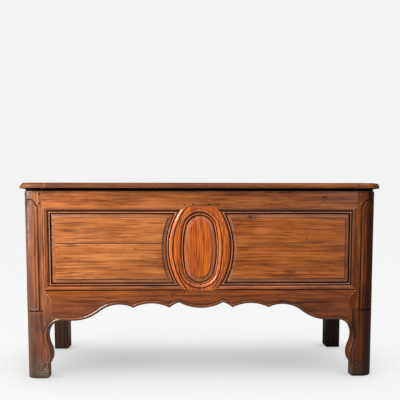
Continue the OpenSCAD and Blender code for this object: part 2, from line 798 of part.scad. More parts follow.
// Side frame: two rails and one fielded panel.
chamfer = 5;
module side_rail(z0, z1, tenon_z0, tenon_z1, edge_z, way) {
    difference() {
        union() {
            block(half_w - side_t, half_w, front_post_d, rear_y, z0, z1);
            block(half_w - groove_back, half_w - groove_in, front_post_d - short_tenon,
                rear_y + rear_tenon, tenon_z0, tenon_z1);
        }
        block(half_w - groove_back, half_w - groove_in, front_post_d - groove_deep,
            rear_y + groove_deep, edge_z - (way > 0 ? over : groove_deep),
            edge_z + (way > 0 ? groove_deep : over));
        translate([half_w, front_post_d - over, edge_z]) rotate([0, 45, 0])
            translate([-chamfer / sqrt(2), 0, -chamfer / sqrt(2)])
                cube([chamfer * sqrt(2), rear_y - front_post_d + 2 * over, chamfer * sqrt(2)]);
        side_peg_set(peg_fit, over);
        ledger_nail_set_side(peg_fit);
    }
}
module side_top() {
    side_rail(open_top, carcass_h, open_top + groove_deep, carcass_h - tenon_in, open_top, 1);
}
module side_bottom() {
    side_rail(low_z, open_bot, low_z + tenon_in, open_bot - groove_deep, open_bot, -1);
}
module side_top_rail_left() {
    color("#7c4a30") from_front() left_side() side_top();
}
module side_top_rail_right() {
    color("#7c4a30") from_front() side_top();
}
module side_bottom_rail_left() {
    color("#7c4a30") from_front() left_side() side_bottom();
}
module side_bottom_rail_right() {
    color("#7c4a30") from_front() side_bottom();
}
module side_panel() {
    y0 = front_post_d - groove_deep + end_fit;
    y1 = rear_y + groove_deep - end_fit;
    difference() {
        block(half_w - tongue_back, half_w - field_in, y0, y1, panel_z0, panel_z1);
        for (edge = [[front_post_d, 1], [rear_y, -1]]) linear_extrude(carcass_h)
            polygon([for (p = bevel_points(bevel_w, field_step)) [half_w - p[1], edge[0] + edge[1] * p[0]]]);
        at_both_ends() translate([0, y1 + over, 0]) rotate([90, 0, 0]) linear_extrude(y1 - y0 + 2 * over)
            polygon([for (p = bevel_points(bevel_w, field_step)) [half_w - p[1], open_top - p[0]]]);
    }
}
module side_panel_left() {
    color("#8f5631") from_front() left_side() side_panel();
}
module side_panel_right() {
    color("#8f5631") from_front() side_panel();
}

// Back frame: two rails, a muntin and two flat panels.
module back_rail(z0, z1, tenon_z0, tenon_z1, edge_z, way) {
    difference() {
        union() {
            block(-rear_in, rear_in, body_d - back_t, body_d, z0, z1);
            block(-rear_in - rear_tenon, rear_in + rear_tenon, body_d - groove_back,
                body_d - groove_in, tenon_z0, tenon_z1);
        }
        block(-rear_in - over, rear_in + over, body_d - groove_back, body_d - groove_in,
            edge_z - (way > 0 ? over : groove_deep), edge_z + (way > 0 ? groove_deep : over));
        back_muntin_tenon(fit, end_fit);
        back_peg_set(back_frame_spots, peg_fit, over);
        back_peg_set(back_muntin_peg, peg_fit, over);
        leaf_nail_set(peg_fit);
        ledger_nail_set_back(peg_fit);
    }
}
module back_top_rail() {
    color("#5b3a28") from_front()
        back_rail(open_top, carcass_h, open_top + groove_deep, carcass_h - tenon_in, open_top, 1);
}
module back_bottom_rail() {
    color("#5b3a28") from_front()
        back_rail(low_z, open_bot, low_z + tenon_in, open_bot - groove_deep, open_bot, -1);
}
module back_muntin_tenon(spare, end) {
    block(-back_muntin_w / 2 + tenon_in - spare, back_muntin_w / 2 - tenon_in + spare,
        body_d - groove_back + fit - spare, body_d - groove_in - fit + spare,
        open_bot - rear_tenon - end, open_top + rear_tenon + end);
}
module back_muntin() {
    color("#5b3a28") from_front() difference() {
        union() {
            block(-back_muntin_w / 2, back_muntin_w / 2, body_d - back_t, body_d, open_bot, open_top);
            back_muntin_tenon(0, 0);
        }
        both_sides() block(back_muntin_w / 2 - groove_deep, back_muntin_w, body_d - groove_back,
            body_d - groove_in, open_bot - groove_deep, open_top + groove_deep);
        back_peg_set(back_muntin_peg, peg_fit, over);
    }
}
module back_panel() {
    block(back_muntin_w / 2 - groove_deep + end_fit, rear_in + groove_deep - end_fit,
        body_d - tongue_back, body_d - tongue_front, panel_z0, panel_z1);
}
module back_panel_left() {
    color("#63412c") from_front() left_side() back_panel();
}
module back_panel_right() {
    color("#63412c") from_front() back_panel();
}

// The floor is three long boards on ledgers, with a bearer under the middle.
floor_half = half_w - side_t - end_fit;
floor_front = front_t + end_fit;
floor_back = body_d - back_t - end_fit;
floor_board_d = (floor_back - floor_front) / 3;
ledger_y1 = body_d - back_t - ledger;
module floor_boards(from, to) {
    difference() {
        block(-floor_half, floor_half, floor_front + from * floor_board_d,
            floor_front + to * floor_board_d, floor_z, floor_z + floor_t);
        both_sides() {
            block(post_in - end_fit, half_w, 0, front_post_d + end_fit, 0, carcass_h);
            block(rear_in - end_fit, half_w, rear_y - end_fit, body_d, 0, carcass_h);
        }
        floor_nail_set(peg_fit);
    }
}
module floor_board_front() {
    color("#7a5a3c") from_front() floor_boards(0, 1);
}
module floor_board_middle() {
    color("#7a5a3c") from_front() floor_boards(1, 2);
}
module floor_board_back() {
    color("#7a5a3c") from_front() floor_boards(2, 3);
}
module floor_ledger_front() {
    color("#6b4a33") from_front() difference() {
        block(-post_in, post_in, front_t, front_t + ledger, floor_z - ledger, floor_z);
        ledger_nail_set_front(peg_fit);
    }
}
module floor_ledger_back() {
    color("#6b4a33") from_front() difference() {
        block(-rear_in, rear_in, ledger_y1, ledger_y1 + ledger, floor_z - ledger, floor_z);
        ledger_nail_set_back(peg_fit);
    }
}
module side_ledger() {
    difference() {
        block(half_w - side_t - ledger, half_w - side_t, front_post_d, rear_y, floor_z - ledger, floor_z);
        ledger_nail_set_side(peg_fit);
        floor_nail_set(peg_fit);
    }
}
module floor_ledger_left() {
    color("#6b4a33") from_front() left_side() side_ledger();
}
module floor_ledger_right() {
    color("#6b4a33") from_front() side_ledger();
}
module floor_bearer() {
    color("#6b4a33") from_front()
        block(-bearer_w / 2, bearer_w / 2, front_t + ledger, ledger_y1, floor_z - ledger, floor_z);
}
ledger_nail_x = [for (i = [0:2]) post_in * (2 * i + 1) / 6];
ledger_nail_z = floor_z - ledger / 2;
module ledger_nail_set_front(spare) {
    both_sides() for (x = ledger_nail_x)
        translate([x, front_t + ledger, ledger_nail_z]) rotate([90, 0, 0])
            nail(ledger, nail_bite, spare);
}
module ledger_nail_set_back(spare) {
    both_sides() for (x = ledger_nail_x)
        translate([x, ledger_y1, ledger_nail_z]) rotate([-90, 0, 0]) nail(ledger, nail_bite, spare);
}
module ledger_nail_set_side(spare) {
    for (i = [0:2])
        translate([half_w - side_t - ledger, front_post_d + (rear_y - front_post_d) * (2 * i + 1) / 6,
            ledger_nail_z]) rotate([0, 90, 0]) nail(ledger, nail_bite, spare);
}
module floor_nail_set(spare) {
    both_sides() for (i = [0:5])
        translate([half_w - side_t - ledger / 2, front_post_d + (rear_y - front_post_d) * (i + 0.5) / 6
            + ledger / 4, floor_z + floor_t]) rotate([180, 0, 0]) nail(floor_t, nail_bite, spare);
}
module ledger_nails() {
    color("#2f2a28") from_front() {
        ledger_nail_set_front(0);
        ledger_nail_set_back(0);
        both_sides() ledger_nail_set_side(0);
    }
}
module floor_nails() {
    color("#2f2a28") from_front() floor_nail_set(0);
}

// The lid: three boards held by a tongued and pegged cleat at each end.
module lid_edge_profile() {
    polygon(concat([[-over, carcass_h + lid_lip], [0, carcass_h + lid_lip]],
        [for (i = [1:steps]) let (a = 90 * i / steps)
            [lid_round_w * (1 - cos(a)), carcass_h + lid_lip + (lid_t - lid_lip) * sin(a)]],
        [[lid_round_w, lid_top + over], [-over, lid_top + over]]));
}
module lid_blank() {
    difference() {
        block(-lid_half, lid_half, -lid_over_front, body_d, carcass_h, lid_top);
        both_sides() {
            lid_corner_cut();
            translate([lid_half, lid_corner_r - lid_over_front, 0]) mirror([1, 0, 0]) rotate([90, 0, 180])
                linear_extrude(body_d + 2 * over) lid_edge_profile();
        }
        translate([-lid_half + lid_corner_r, -lid_over_front, 0]) rotate([90, 0, 90])
            linear_extrude(2 * (lid_half - lid_corner_r)) lid_edge_profile();
    }
}
module lid_corner_cut() {
    c = [lid_half - lid_corner_r, lid_corner_r - lid_over_front, 0];
    translate(c) rotate([0, 0, -90]) rotate_extrude(angle = 90)
        translate([lid_corner_r, 0]) mirror([1, 0]) lid_edge_profile();
    translate([0, 0, carcass_h - over]) linear_extrude(lid_t + 2 * over) difference() {
        translate([c[0], -lid_over_front - over]) square(lid_corner_r + over);
        translate([c[0], c[1]]) circle(r = lid_corner_r);
    }
}
tongue_z0 = carcass_h + (lid_t - tongue_t) / 2;
tongue_z1 = tongue_z0 + tongue_t;
module lid_board(from, to) {
    y0 = from * board_d - lid_over_front;
    y1 = to * board_d - lid_over_front;
    difference() {
        intersection() {
            lid_blank();
            block(-cleat_x, cleat_x, y0, y1, carcass_h, lid_top);
        }
        strap_recess();
        strap_nail_set(peg_fit);
    }
    difference() {
        both_sides() block(cleat_x - over, cleat_x + cleat_tongue, max(y0, tongue_in),
            min(y1, body_d - tongue_in), tongue_z0 + fit, tongue_z1 - fit);
        lid_peg_set(peg_fit);
    }
}
module lid_board_front() {
    color("#8d5a3c") from_front() lid_board(0, 1);
}
module lid_board_middle() {
    color("#8d5a3c") from_front() lid_board(1, 2);
}
module lid_board_back() {
    color("#8d5a3c") from_front() lid_board(2, 3);
}
module lid_cleat() {
    difference() {
        intersection() {
            lid_blank();
            block(cleat_x, lid_half, -lid_over_front, body_d, carcass_h, lid_top);
        }
        block(cleat_x - over, cleat_x + cleat_tongue + end_fit, tongue_in - end_fit,
            body_d - tongue_in + end_fit, tongue_z0, tongue_z1);
        lid_peg_set(peg_fit);
    }
}
module lid_cleat_left() {
    color("#7d4f38") from_front() left_side() lid_cleat();
}
module lid_cleat_right() {
    color("#7d4f38") from_front() lid_cleat();
}
module lid_peg_set(spare) {
    both_sides() for (i = [0:cleat_pegs - 1])
        translate([cleat_x + cleat_tongue / 2, tongue_in
            + (body_d - 2 * tongue_in) * (i + 0.5) / cleat_pegs, carcass_h - (spare > 0 ? over : 0)])
            peg(lid_t + (spare > 0 ? 2 * over : 0), spare);
}
module lid_cleat_pegs() {
    color("#5f3b28") from_front() lid_peg_set(0);
}

// Each hinge is a leaf on the back rail, a strap let into the lid and a loose pin.
knuckle_l = (leaf_w - 2 * knuckle_gap) / 3;
pin_fit = 0.02;
module strap_outline(spare) {
    w = leaf_w / 2 + spare;
    e = strap_end_w / 2 + spare;
    y1 = body_d - leaf_w;
    y0 = body_d - strap_l + strap_end_w;
    polygon([[-w, body_d + spare], [-w, y1], [-e, y0], [e, y0], [w, y1], [w, body_d + spare]]);
    translate([0, y0]) circle(r = strap_round_r + spare);
}
module at_hinges() {
    both_sides() translate([hinge_x, 0, 0]) children();
}
module strap_recess() {
    at_hinges() translate([0, 0, carcass_h - over]) linear_extrude(iron_t + over + fit)
        strap_outline(fit);
}
module barrel(x0, x1, bore) {
    translate([x0, axis_y, carcass_h]) rotate([0, 90, 0]) difference() {
        cylinder(h = x1 - x0, r = barrel_r);
        translate([0, 0, -over]) cylinder(h = x1 - x0 + 2 * over, r = bore);
    }
}
module bore_cut(bore) {
    translate([-leaf_w, axis_y, carcass_h]) rotate([0, 90, 0]) cylinder(h = 2 * leaf_w, r = bore);
}
module hinge_strap() {
    bore = pin_d / 2 + run_fit;
    difference() {
        union() {
            translate([0, 0, carcass_h]) linear_extrude(iron_t) difference() {
                strap_outline(0);
                for (way = [-1, 1]) translate([way * leaf_w / 2 - leaf_w / 4, body_d - over])
                    square([leaf_w / 2, 2 * over]);
            }
            block(-knuckle_l / 2, knuckle_l / 2, body_d - 2 * over, axis_y, carcass_h,
                carcass_h + iron_t);
            barrel(-knuckle_l / 2, knuckle_l / 2, bore);
        }
        bore_cut(bore);
        strap_nails_at(peg_fit);
    }
}
module hinge_strap_left() {
    color("#3a3533") from_front() left_side() translate([hinge_x, 0, 0]) hinge_strap();
}
module hinge_strap_right() {
    color("#3a3533") from_front() translate([hinge_x, 0, 0]) hinge_strap();
}
module hinge_leaf() {
    bore = pin_d / 2 + pin_fit;
    difference() {
        union() {
            block(-leaf_w / 2, leaf_w / 2, body_d, body_d + iron_t, carcass_h - leaf_h,
                carcass_h - barrel_r - 1);
            for (way = [-1, 1]) {
                x = way * (leaf_w - knuckle_l) / 2;
                block(x - knuckle_l / 2, x + knuckle_l / 2, body_d, body_d + iron_t,
                    carcass_h - barrel_r - 2, carcass_h);
                barrel(x - knuckle_l / 2, x + knuckle_l / 2, bore);
            }
        }
        bore_cut(bore);
        leaf_nails_at(peg_fit);
    }
}
module hinge_leaf_left() {
    color("#3a3533") from_front() left_side() translate([hinge_x, 0, 0]) hinge_leaf();
}
module hinge_leaf_right() {
    color("#3a3533") from_front() translate([hinge_x, 0, 0]) hinge_leaf();
}
module hinge_pin() {
    translate([hinge_x - leaf_w / 2 - 1, axis_y, carcass_h]) rotate([0, 90, 0])
        cylinder(h = leaf_w + 2, d = pin_d);
}
module hinge_pin_left() {
    color("#4a4441") from_front() left_side() hinge_pin();
}
module hinge_pin_right() {
    color("#4a4441") from_front() hinge_pin();
}
strap_nail_reach = strap_l - back_t - strap_nail_in - strap_nail_end;
strap_nail_y = [for (i = [0:3]) body_d - back_t - strap_nail_in - i * strap_nail_reach / 3];
module strap_nails_at(spare) {
    for (y = strap_nail_y) translate([0, y, carcass_h]) nail(iron_t, nail_bite, spare);
}
module strap_nail_set(spare) {
    at_hinges() strap_nails_at(spare);
}
leaf_nail_z = [carcass_h - leaf_nail_in, carcass_h - leaf_h + leaf_nail_in];
module leaf_nails_at(spare) {
    for (z = leaf_nail_z, x = [-leaf_w / 4, leaf_w / 4])
        translate([x, body_d + iron_t, z]) rotate([90, 0, 0]) nail(iron_t, nail_bite, spare);
}
module leaf_nail_set(spare) {
    at_hinges() leaf_nails_at(spare);
}
module hinge_strap_nails() {
    color("#2f2a28") from_front() strap_nail_set(0);
}
module hinge_leaf_nails() {
    color("#2f2a28") from_front() leaf_nail_set(0);
}

module front_frame_pegs() {
    color("#5f3b28") from_front() front_peg_set(front_pegs, front_peg_l, 0, 0);
}
module muntin_pegs() {
    color("#5f3b28") from_front() front_peg_set(muntin_pegs_at, front_peg_l, 0, 0);
}
module side_frame_pegs() {
    color("#5f3b28") from_front() both_sides() side_peg_set(0, 0);
}
module back_frame_pegs() {
    color("#5f3b28") from_front() {
        back_peg_set(back_frame_spots, 0, 0);
        back_peg_set(back_muntin_peg, 0, 0);
    }
}

front_post_left();
front_post_right();
rear_post_left();
rear_post_right();
front_top_rail();
front_apron_rail();
centre_muntin();
front_panel_left_upper();
front_panel_left_lower();
front_panel_right_upper();
front_panel_right_lower();
side_top_rail_left();
side_top_rail_right();
side_bottom_rail_left();
side_bottom_rail_right();
side_panel_left();
side_panel_right();
back_top_rail();
back_bottom_rail();
back_muntin();
back_panel_left();
back_panel_right();
floor_board_front();
floor_board_middle();
floor_board_back();
floor_ledger_front();
floor_ledger_back();
floor_ledger_left();
floor_ledger_right();
floor_bearer();
ledger_nails();
floor_nails();
lid_board_front();
lid_board_middle();
lid_board_back();
lid_cleat_left();
lid_cleat_right();
lid_cleat_pegs();
hinge_strap_left();
hinge_strap_right();
hinge_leaf_left();
hinge_leaf_right();
hinge_pin_left();
hinge_pin_right();
hinge_strap_nails();
hinge_leaf_nails();
front_frame_pegs();
muntin_pegs();
side_frame_pegs();
back_frame_pegs();
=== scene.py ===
import json
import math

import bpy
import numpy as np
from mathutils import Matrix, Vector, noise

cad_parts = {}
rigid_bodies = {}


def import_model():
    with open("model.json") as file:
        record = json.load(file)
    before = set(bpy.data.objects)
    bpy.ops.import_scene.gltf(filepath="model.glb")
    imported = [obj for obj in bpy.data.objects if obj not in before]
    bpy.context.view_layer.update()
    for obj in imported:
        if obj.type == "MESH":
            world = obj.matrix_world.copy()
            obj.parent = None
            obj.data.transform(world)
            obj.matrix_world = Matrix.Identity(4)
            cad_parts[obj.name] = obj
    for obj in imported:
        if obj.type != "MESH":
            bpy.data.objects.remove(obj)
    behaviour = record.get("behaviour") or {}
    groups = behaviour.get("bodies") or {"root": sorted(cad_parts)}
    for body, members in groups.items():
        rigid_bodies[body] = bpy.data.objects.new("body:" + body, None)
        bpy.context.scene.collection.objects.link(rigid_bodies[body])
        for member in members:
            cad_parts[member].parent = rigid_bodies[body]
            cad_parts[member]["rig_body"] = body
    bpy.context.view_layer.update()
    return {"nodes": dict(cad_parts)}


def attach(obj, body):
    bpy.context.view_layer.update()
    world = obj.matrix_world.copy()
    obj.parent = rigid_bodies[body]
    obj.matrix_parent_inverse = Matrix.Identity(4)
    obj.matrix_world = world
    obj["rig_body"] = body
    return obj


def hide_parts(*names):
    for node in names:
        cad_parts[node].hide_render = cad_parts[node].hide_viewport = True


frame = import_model()
cad = frame["nodes"]
print("frame loaded:", len(cad), "nodes")


# small helpers

def linear(hexColour):
    # sRGB hex to the linear colour that a shader socket takes
    parts = [int(hexColour[i:i + 2], 16) / 255 for i in (1, 3, 5)]
    return tuple([c / 12.92 if c <= 0.04045 else ((c + 0.055) / 1.055) ** 2.4 for c in parts] + [1])


def addNode(tree, kind, settings):
    # a string key that names no input is a property, and a socket value becomes a link
    node = tree.nodes.new("ShaderNode" + kind)
    for key, value in settings.items():
        if isinstance(key, str) and key not in node.inputs:
            setattr(node, key, value)
        elif isinstance(value, bpy.types.NodeSocket):
            tree.links.new(value, node.inputs[key])
        else:
            node.inputs[key].default_value = value
    return node


def setRamp(node, stops):
    ramp = node.color_ramp
    while len(ramp.elements) < len(stops):
        ramp.elements.new(0.5)
    for element, (place, colour) in zip(ramp.elements, stops):
        element.position = place
        element.color = linear(colour)
    return node.outputs["Color"]


def deselectAll():
    if bpy.context.object and bpy.context.object.mode != "OBJECT":
        bpy.ops.object.mode_set(mode="OBJECT")
    bpy.ops.object.select_all(action="DESELECT")


def activate(piece):
    deselectAll()
    piece.select_set(True)
    bpy.context.view_layer.objects.active = piece


# camera and stage

cameraSettings = {
    "place": (-0.072, -2.654, 0.681),   # metres, 2.36 m in front of the chest
    "pitch": 4.78,                      # degrees below level
    "turn": 1.63,                       # degrees towards the right
    "lens": 51.84,
    "shiftUp": 0.155,                   # the photograph is a crop with the chest below its middle
}
stageSettings = {
    "floorColour": "#a9a9a9",
    "shadeColour": "#b0b0b0",           # painted shadow: what the camera sees of the floor in the deepest shade under the chest
    "clearColour": "#fcfcfc",
    "backColour": "#f3f3f3",
    "worldLight": 0.16,
    "litShare": 0.06,                   # share of the floor that also takes the lamps' shadows
}
lampSettings = {                        # place, aim and size in metres, watts, colour
    "keyLamp": ((-2.1, -1.9, 1.9), (-0.1, 0, 0.4), (1.0, 1.0), 120, "#fff8f0"),
    "sideLamp": ((-2.3, -0.5, 1.2), (0, -0.3, 0.5), (0.4, 1.6), 22, "#ffffff"),
    "topLamp": ((0.4, -1.0, 2.7), (0.3, 0, 0.4), (2.4, 0.8), 36, "#ffffff"),
    "fillLamp": ((2.4, -3.4, 1.6), (0.2, 0, 0.4), (2.5, 2.0), 12, "#f6f8ff"),
}


def makeCamera(s):
    data = bpy.data.cameras.new("frontCamera")
    camera = bpy.data.objects.new("frontCamera", data)
    bpy.context.scene.collection.objects.link(camera)
    camera.location = s["place"]
    camera.rotation_euler = (math.radians(90 - s["pitch"]), 0, math.radians(-s["turn"]))
    data.lens = s["lens"]
    data.sensor_width = 36
    data.shift_y = s["shiftUp"]
    bpy.context.scene.camera = camera


def softLamp(name, place, aim, size, watts, colour):
    data = bpy.data.lights.new(name, "AREA")
    data.shape = "RECTANGLE"
    data.size, data.size_y = size
    data.energy = watts
    data.color = linear(colour)[:3]
    lamp = bpy.data.objects.new(name, data)
    bpy.context.scene.collection.objects.link(lamp)
    lamp.location = place
    lamp.rotation_euler = (Vector(aim) - Vector(place)).to_track_quat("-Z", "Y").to_euler()


def makeStage(s):
    deselectAll()
    bpy.ops.mesh.primitive_plane_add(size=24, location=(0, 0, 0))
    floor = bpy.context.object
    floor.name = "studioFloor"
    material = bpy.data.materials.new("paintedFloor")
    material.use_nodes = True
    tree = material.node_tree
    tree.nodes.clear()
    path = addNode(tree, "LightPath", {})
    matt = addNode(tree, "BsdfDiffuse", {"Color": linear(s["floorColour"])})
    # to the camera the floor is mostly a glow whose colour is a painted shadow, darker where ambient
    # occlusion finds the chest above
    under = addNode(tree, "AmbientOcclusion", {"samples": 16, "Distance": 0.55})
    shade = addNode(tree, "ValToRGB", {"Fac": under.outputs["AO"]})
    tint = setRamp(shade, [(0.15, s["shadeColour"]), (0.9, s["clearColour"])])
    plain = addNode(tree, "Emission", {"Color": tint, "Strength": 1})
    seen = addNode(tree, "MixShader", {0: s["litShare"], 1: plain.outputs[0], 2: matt.outputs[0]})
    byRay = addNode(tree, "MixShader", {0: path.outputs["Is Camera Ray"], 1: matt.outputs[0],
                                        2: seen.outputs[0]})
    addNode(tree, "OutputMaterial", {"Surface": byRay.outputs[0]})
    floor.data.materials.append(material)

    world = bpy.data.worlds.new("paleRoom")
    world.use_nodes = True
    tree = world.node_tree
    tree.nodes.clear()
    path = addNode(tree, "LightPath", {})
    light = addNode(tree, "Background", {"Color": linear("#ffffff"), "Strength": s["worldLight"]})
    back = addNode(tree, "Background", {"Color": linear(s["backColour"]), "Strength": 1})
    seen = addNode(tree, "MixShader", {0: path.outputs["Is Camera Ray"], 1: light.outputs[0],
                                       2: back.outputs[0]})
    addNode(tree, "OutputWorld", {"Surface": seen.outputs[0]})
    bpy.context.scene.world = world


makeCamera(cameraSettings)
makeStage(stageSettings)
for name, (place, aim, size, watts, colour) in lampSettings.items():
    softLamp(name, place, aim, size, watts, colour)
bpy.context.scene.view_settings.view_transform = "Standard"
print("camera, floor and lamps made")


# materials

grainTurn = {                           # turns grain to X, thickness to Y and width to Z
    "frontAlong": (0, 0, 0),
    "frontUp": (0, 90, 0),
    "sideAlong": (0, 0, -90),
    "topAlong": (90, 0, 0),
    "topAcross": (-90, -90, 0),
}
commonFinish = {                        # what a tone of boardTones doesn't say for itself
    "smooth": 0.27, "coat": 0.4, "specular": 0.5, "wear": 0.65, "marks": [],
    "low": "#a08c7c", "lowFrom": 0.04, "lowTo": 0.4,    # metres, where a piece turns browner downwards
}
oakPatterns = {                         # features per metre along and across the grain, detail, roughness
    "streak": (1.5, 120, 6, 0.66),      # 8 mm bands of early and late wood
    "fibre": (6, 370, 3, 0.6),          # pores, drawn 3 mm wide so that they show
    "cloud": (4, 17, 7, 0.72),          # hand-sized patches of patina
    "fleck": (6, 280, 3, 0.6),          # dark lines where pores crowd
    "smudge": (4, 24, 5, 0.66),         # stains, 40 mm across
}
grainShares = {"streak": 0.4, "fibre": 0.38, "cloud": 0.36}     # what each adds to tone and height
# colours of pores, stains and marks, and of painted shade on faces that look down and in hollows
grimeAndShadeTones = {
    "pores": "#6a4636", "stain": "#8a6a5c", "mark": "#2a1208", "underside": "#3a2015",
    "shade": "#26140c", "dirt": "#0d0502",
}


def layer(tree, colour, value, span, amounts, tint, blend="MIX"):
    # a tint over the colour, as strong as the value's place in its span says
    amount = addNode(tree, "MapRange", {"Value": value, "From Min": span[0], "From Max": span[1],
                                        "To Min": amounts[0], "To Max": amounts[1]})
    return addNode(tree, "Mix", {"data_type": "RGBA", "blend_type": blend, 0: amount.outputs[0],
                                 6: colour, 7: linear(tint)}).outputs[2]


def oakGrain(tree, coord, s):
    # patterns stretched along the grain of the board, bent by a slow drift as in a tree that swayed
    turn = [math.radians(a) for a in grainTurn[s["grain"]]]
    board = addNode(tree, "Mapping", {"Vector": coord.outputs["Object"], "Rotation": turn,
                                      "Location": s["offset"]})
    wander = addNode(tree, "Mapping", {"Vector": board.outputs[0], "Scale": (2.4, 6, 6)})
    drift = addNode(tree, "TexNoise", {"Vector": wander.outputs[0], "Scale": 1, "Detail": 2})
    sway = addNode(tree, "VectorMath", {"operation": "MULTIPLY_ADD", 0: drift.outputs["Color"],
                                        1: (0, 0.015, 0.022), 2: board.outputs[0]})
    grain = {}
    for word, (along, across, detail, roughness) in oakPatterns.items():
        place = addNode(tree, "Mapping", {"Vector": sway.outputs[0], "Scale": (along, across, across)})
        made = addNode(tree, "TexNoise", {"Vector": place.outputs[0], "Scale": 1, "Detail": detail,
                                          "Roughness": roughness})
        grain[word] = made.outputs["Fac"]
    total = 0
    for word, share in grainShares.items():
        total = addNode(tree, "Math", {"operation": "MULTIPLY_ADD", 0: grain[word], 1: share,
                                       2: total}).outputs[0]
    return grain, total, drift.outputs["Color"]


def dustAndSheenOnBevels(tree, colour, depth, cloud, s):
    # dust and old wax lie in patches on what is sunk behind the front; the paler tint is also a painted sheen
    start = (chest["frontY"] + s["dullDepth"]) / 1000
    patch = addNode(tree, "MapRange", {"Value": cloud, "From Min": 0.35, "From Max": 0.65,
                                       "To Min": 0.1, "To Max": s["dull"]})
    behind = addNode(tree, "MapRange", {"Value": depth, "From Min": start, "From Max": start + 0.0008})
    spread = addNode(tree, "Math", {"operation": "MULTIPLY", 0: patch.outputs[0], 1: behind.outputs[0]})
    return addNode(tree, "Mix", {"data_type": "RGBA", 0: spread.outputs[0], 6: colour,
                                 7: linear(s["dullColour"])}).outputs[2]


def placedMarks(tree, colour, coord, drift, marks):
    # knots, stains, cracks and broad darker patches at their places on the board, in millimetres, with
    # wandering outlines; some broad patches are painted shade
    shaken = addNode(tree, "VectorMath", {"operation": "MULTIPLY_ADD", 0: drift, 1: (0.02, 0, 0.02),
                                          2: coord.outputs["Object"]})
    for markX, markZ, halfLong, halfHigh, angle, strength in marks:
        place = addNode(tree, "Mapping", {"vector_type": "TEXTURE", "Vector": shaken.outputs[0],
                                          "Location": (markX / 1000 + 0.01, 0, markZ / 1000 + 0.01),
                                          "Rotation": (0, math.radians(angle), 0),
                                          "Scale": (halfLong / 1000, 10, halfHigh / 1000)})
        reach = addNode(tree, "VectorMath", {"operation": "LENGTH", 0: place.outputs[0]}).outputs["Value"]
        colour = layer(tree, colour, reach, (0.45, 1.1), (strength, 0), grimeAndShadeTones["mark"])
    return colour


def dirtShadeAndWear(tree, colour, facing, height, s):
    # painted shade on faces that look down, painted shade and black dirt in the hollows, paler wood where
    # edges are rubbed
    # painted shade: faces that look down are darkened
    colour = layer(tree, colour, facing, (-0.8, -0.25), (0.9, 0), grimeAndShadeTones["underside"], "MULTIPLY")
    shade = addNode(tree, "AmbientOcclusion", {"samples": 4, "Distance": 0.035}).outputs["AO"]
    colour = layer(tree, colour, shade, (0.45, 0.8), (1, 0), grimeAndShadeTones["shade"], "MULTIPLY")
    hollow = addNode(tree, "AmbientOcclusion", {"samples": 6, "Distance": 0.009}).outputs["AO"]
    if "gap" in s:                      # the recess under the lid is painted black all over, as shade
        under = addNode(tree, "MapRange", {"Value": height, "From Min": s["gap"] - 0.0006,
                                           "From Max": s["gap"] + 0.0002, "To Min": 1, "To Max": 0.3})
        hollow = addNode(tree, "Math", {"operation": "MULTIPLY", 0: hollow, 1: under.outputs[0]}).outputs[0]
    # near-black in the hollows: dirt and old wax, and painted shade where grooves fall into shadow
    colour = layer(tree, colour, hollow, (0.45, 0.8), (0.97, 0), grimeAndShadeTones["dirt"])
    edge = addNode(tree, "AmbientOcclusion", {"samples": 4, "inside": True, "only_local": True,
                                              "Distance": 0.005}).outputs["AO"]
    wear = addNode(tree, "MapRange", {"Value": edge, "From Min": 0.35, "From Max": 0.75,
                                      "To Min": s["wear"], "To Max": 0})
    handled = addNode(tree, "MapRange", {"Value": facing, "From Min": -0.95, "From Max": -0.8,
                                         "To Min": 0.15})
    rubbed = addNode(tree, "Math", {"operation": "MULTIPLY", 0: wear.outputs[0], 1: handled.outputs[0]})
    colour = addNode(tree, "Mix", {"data_type": "RGBA", 0: rubbed.outputs[0], 6: colour,
                                   7: linear(s["worn"])}).outputs[2]
    return colour, hollow


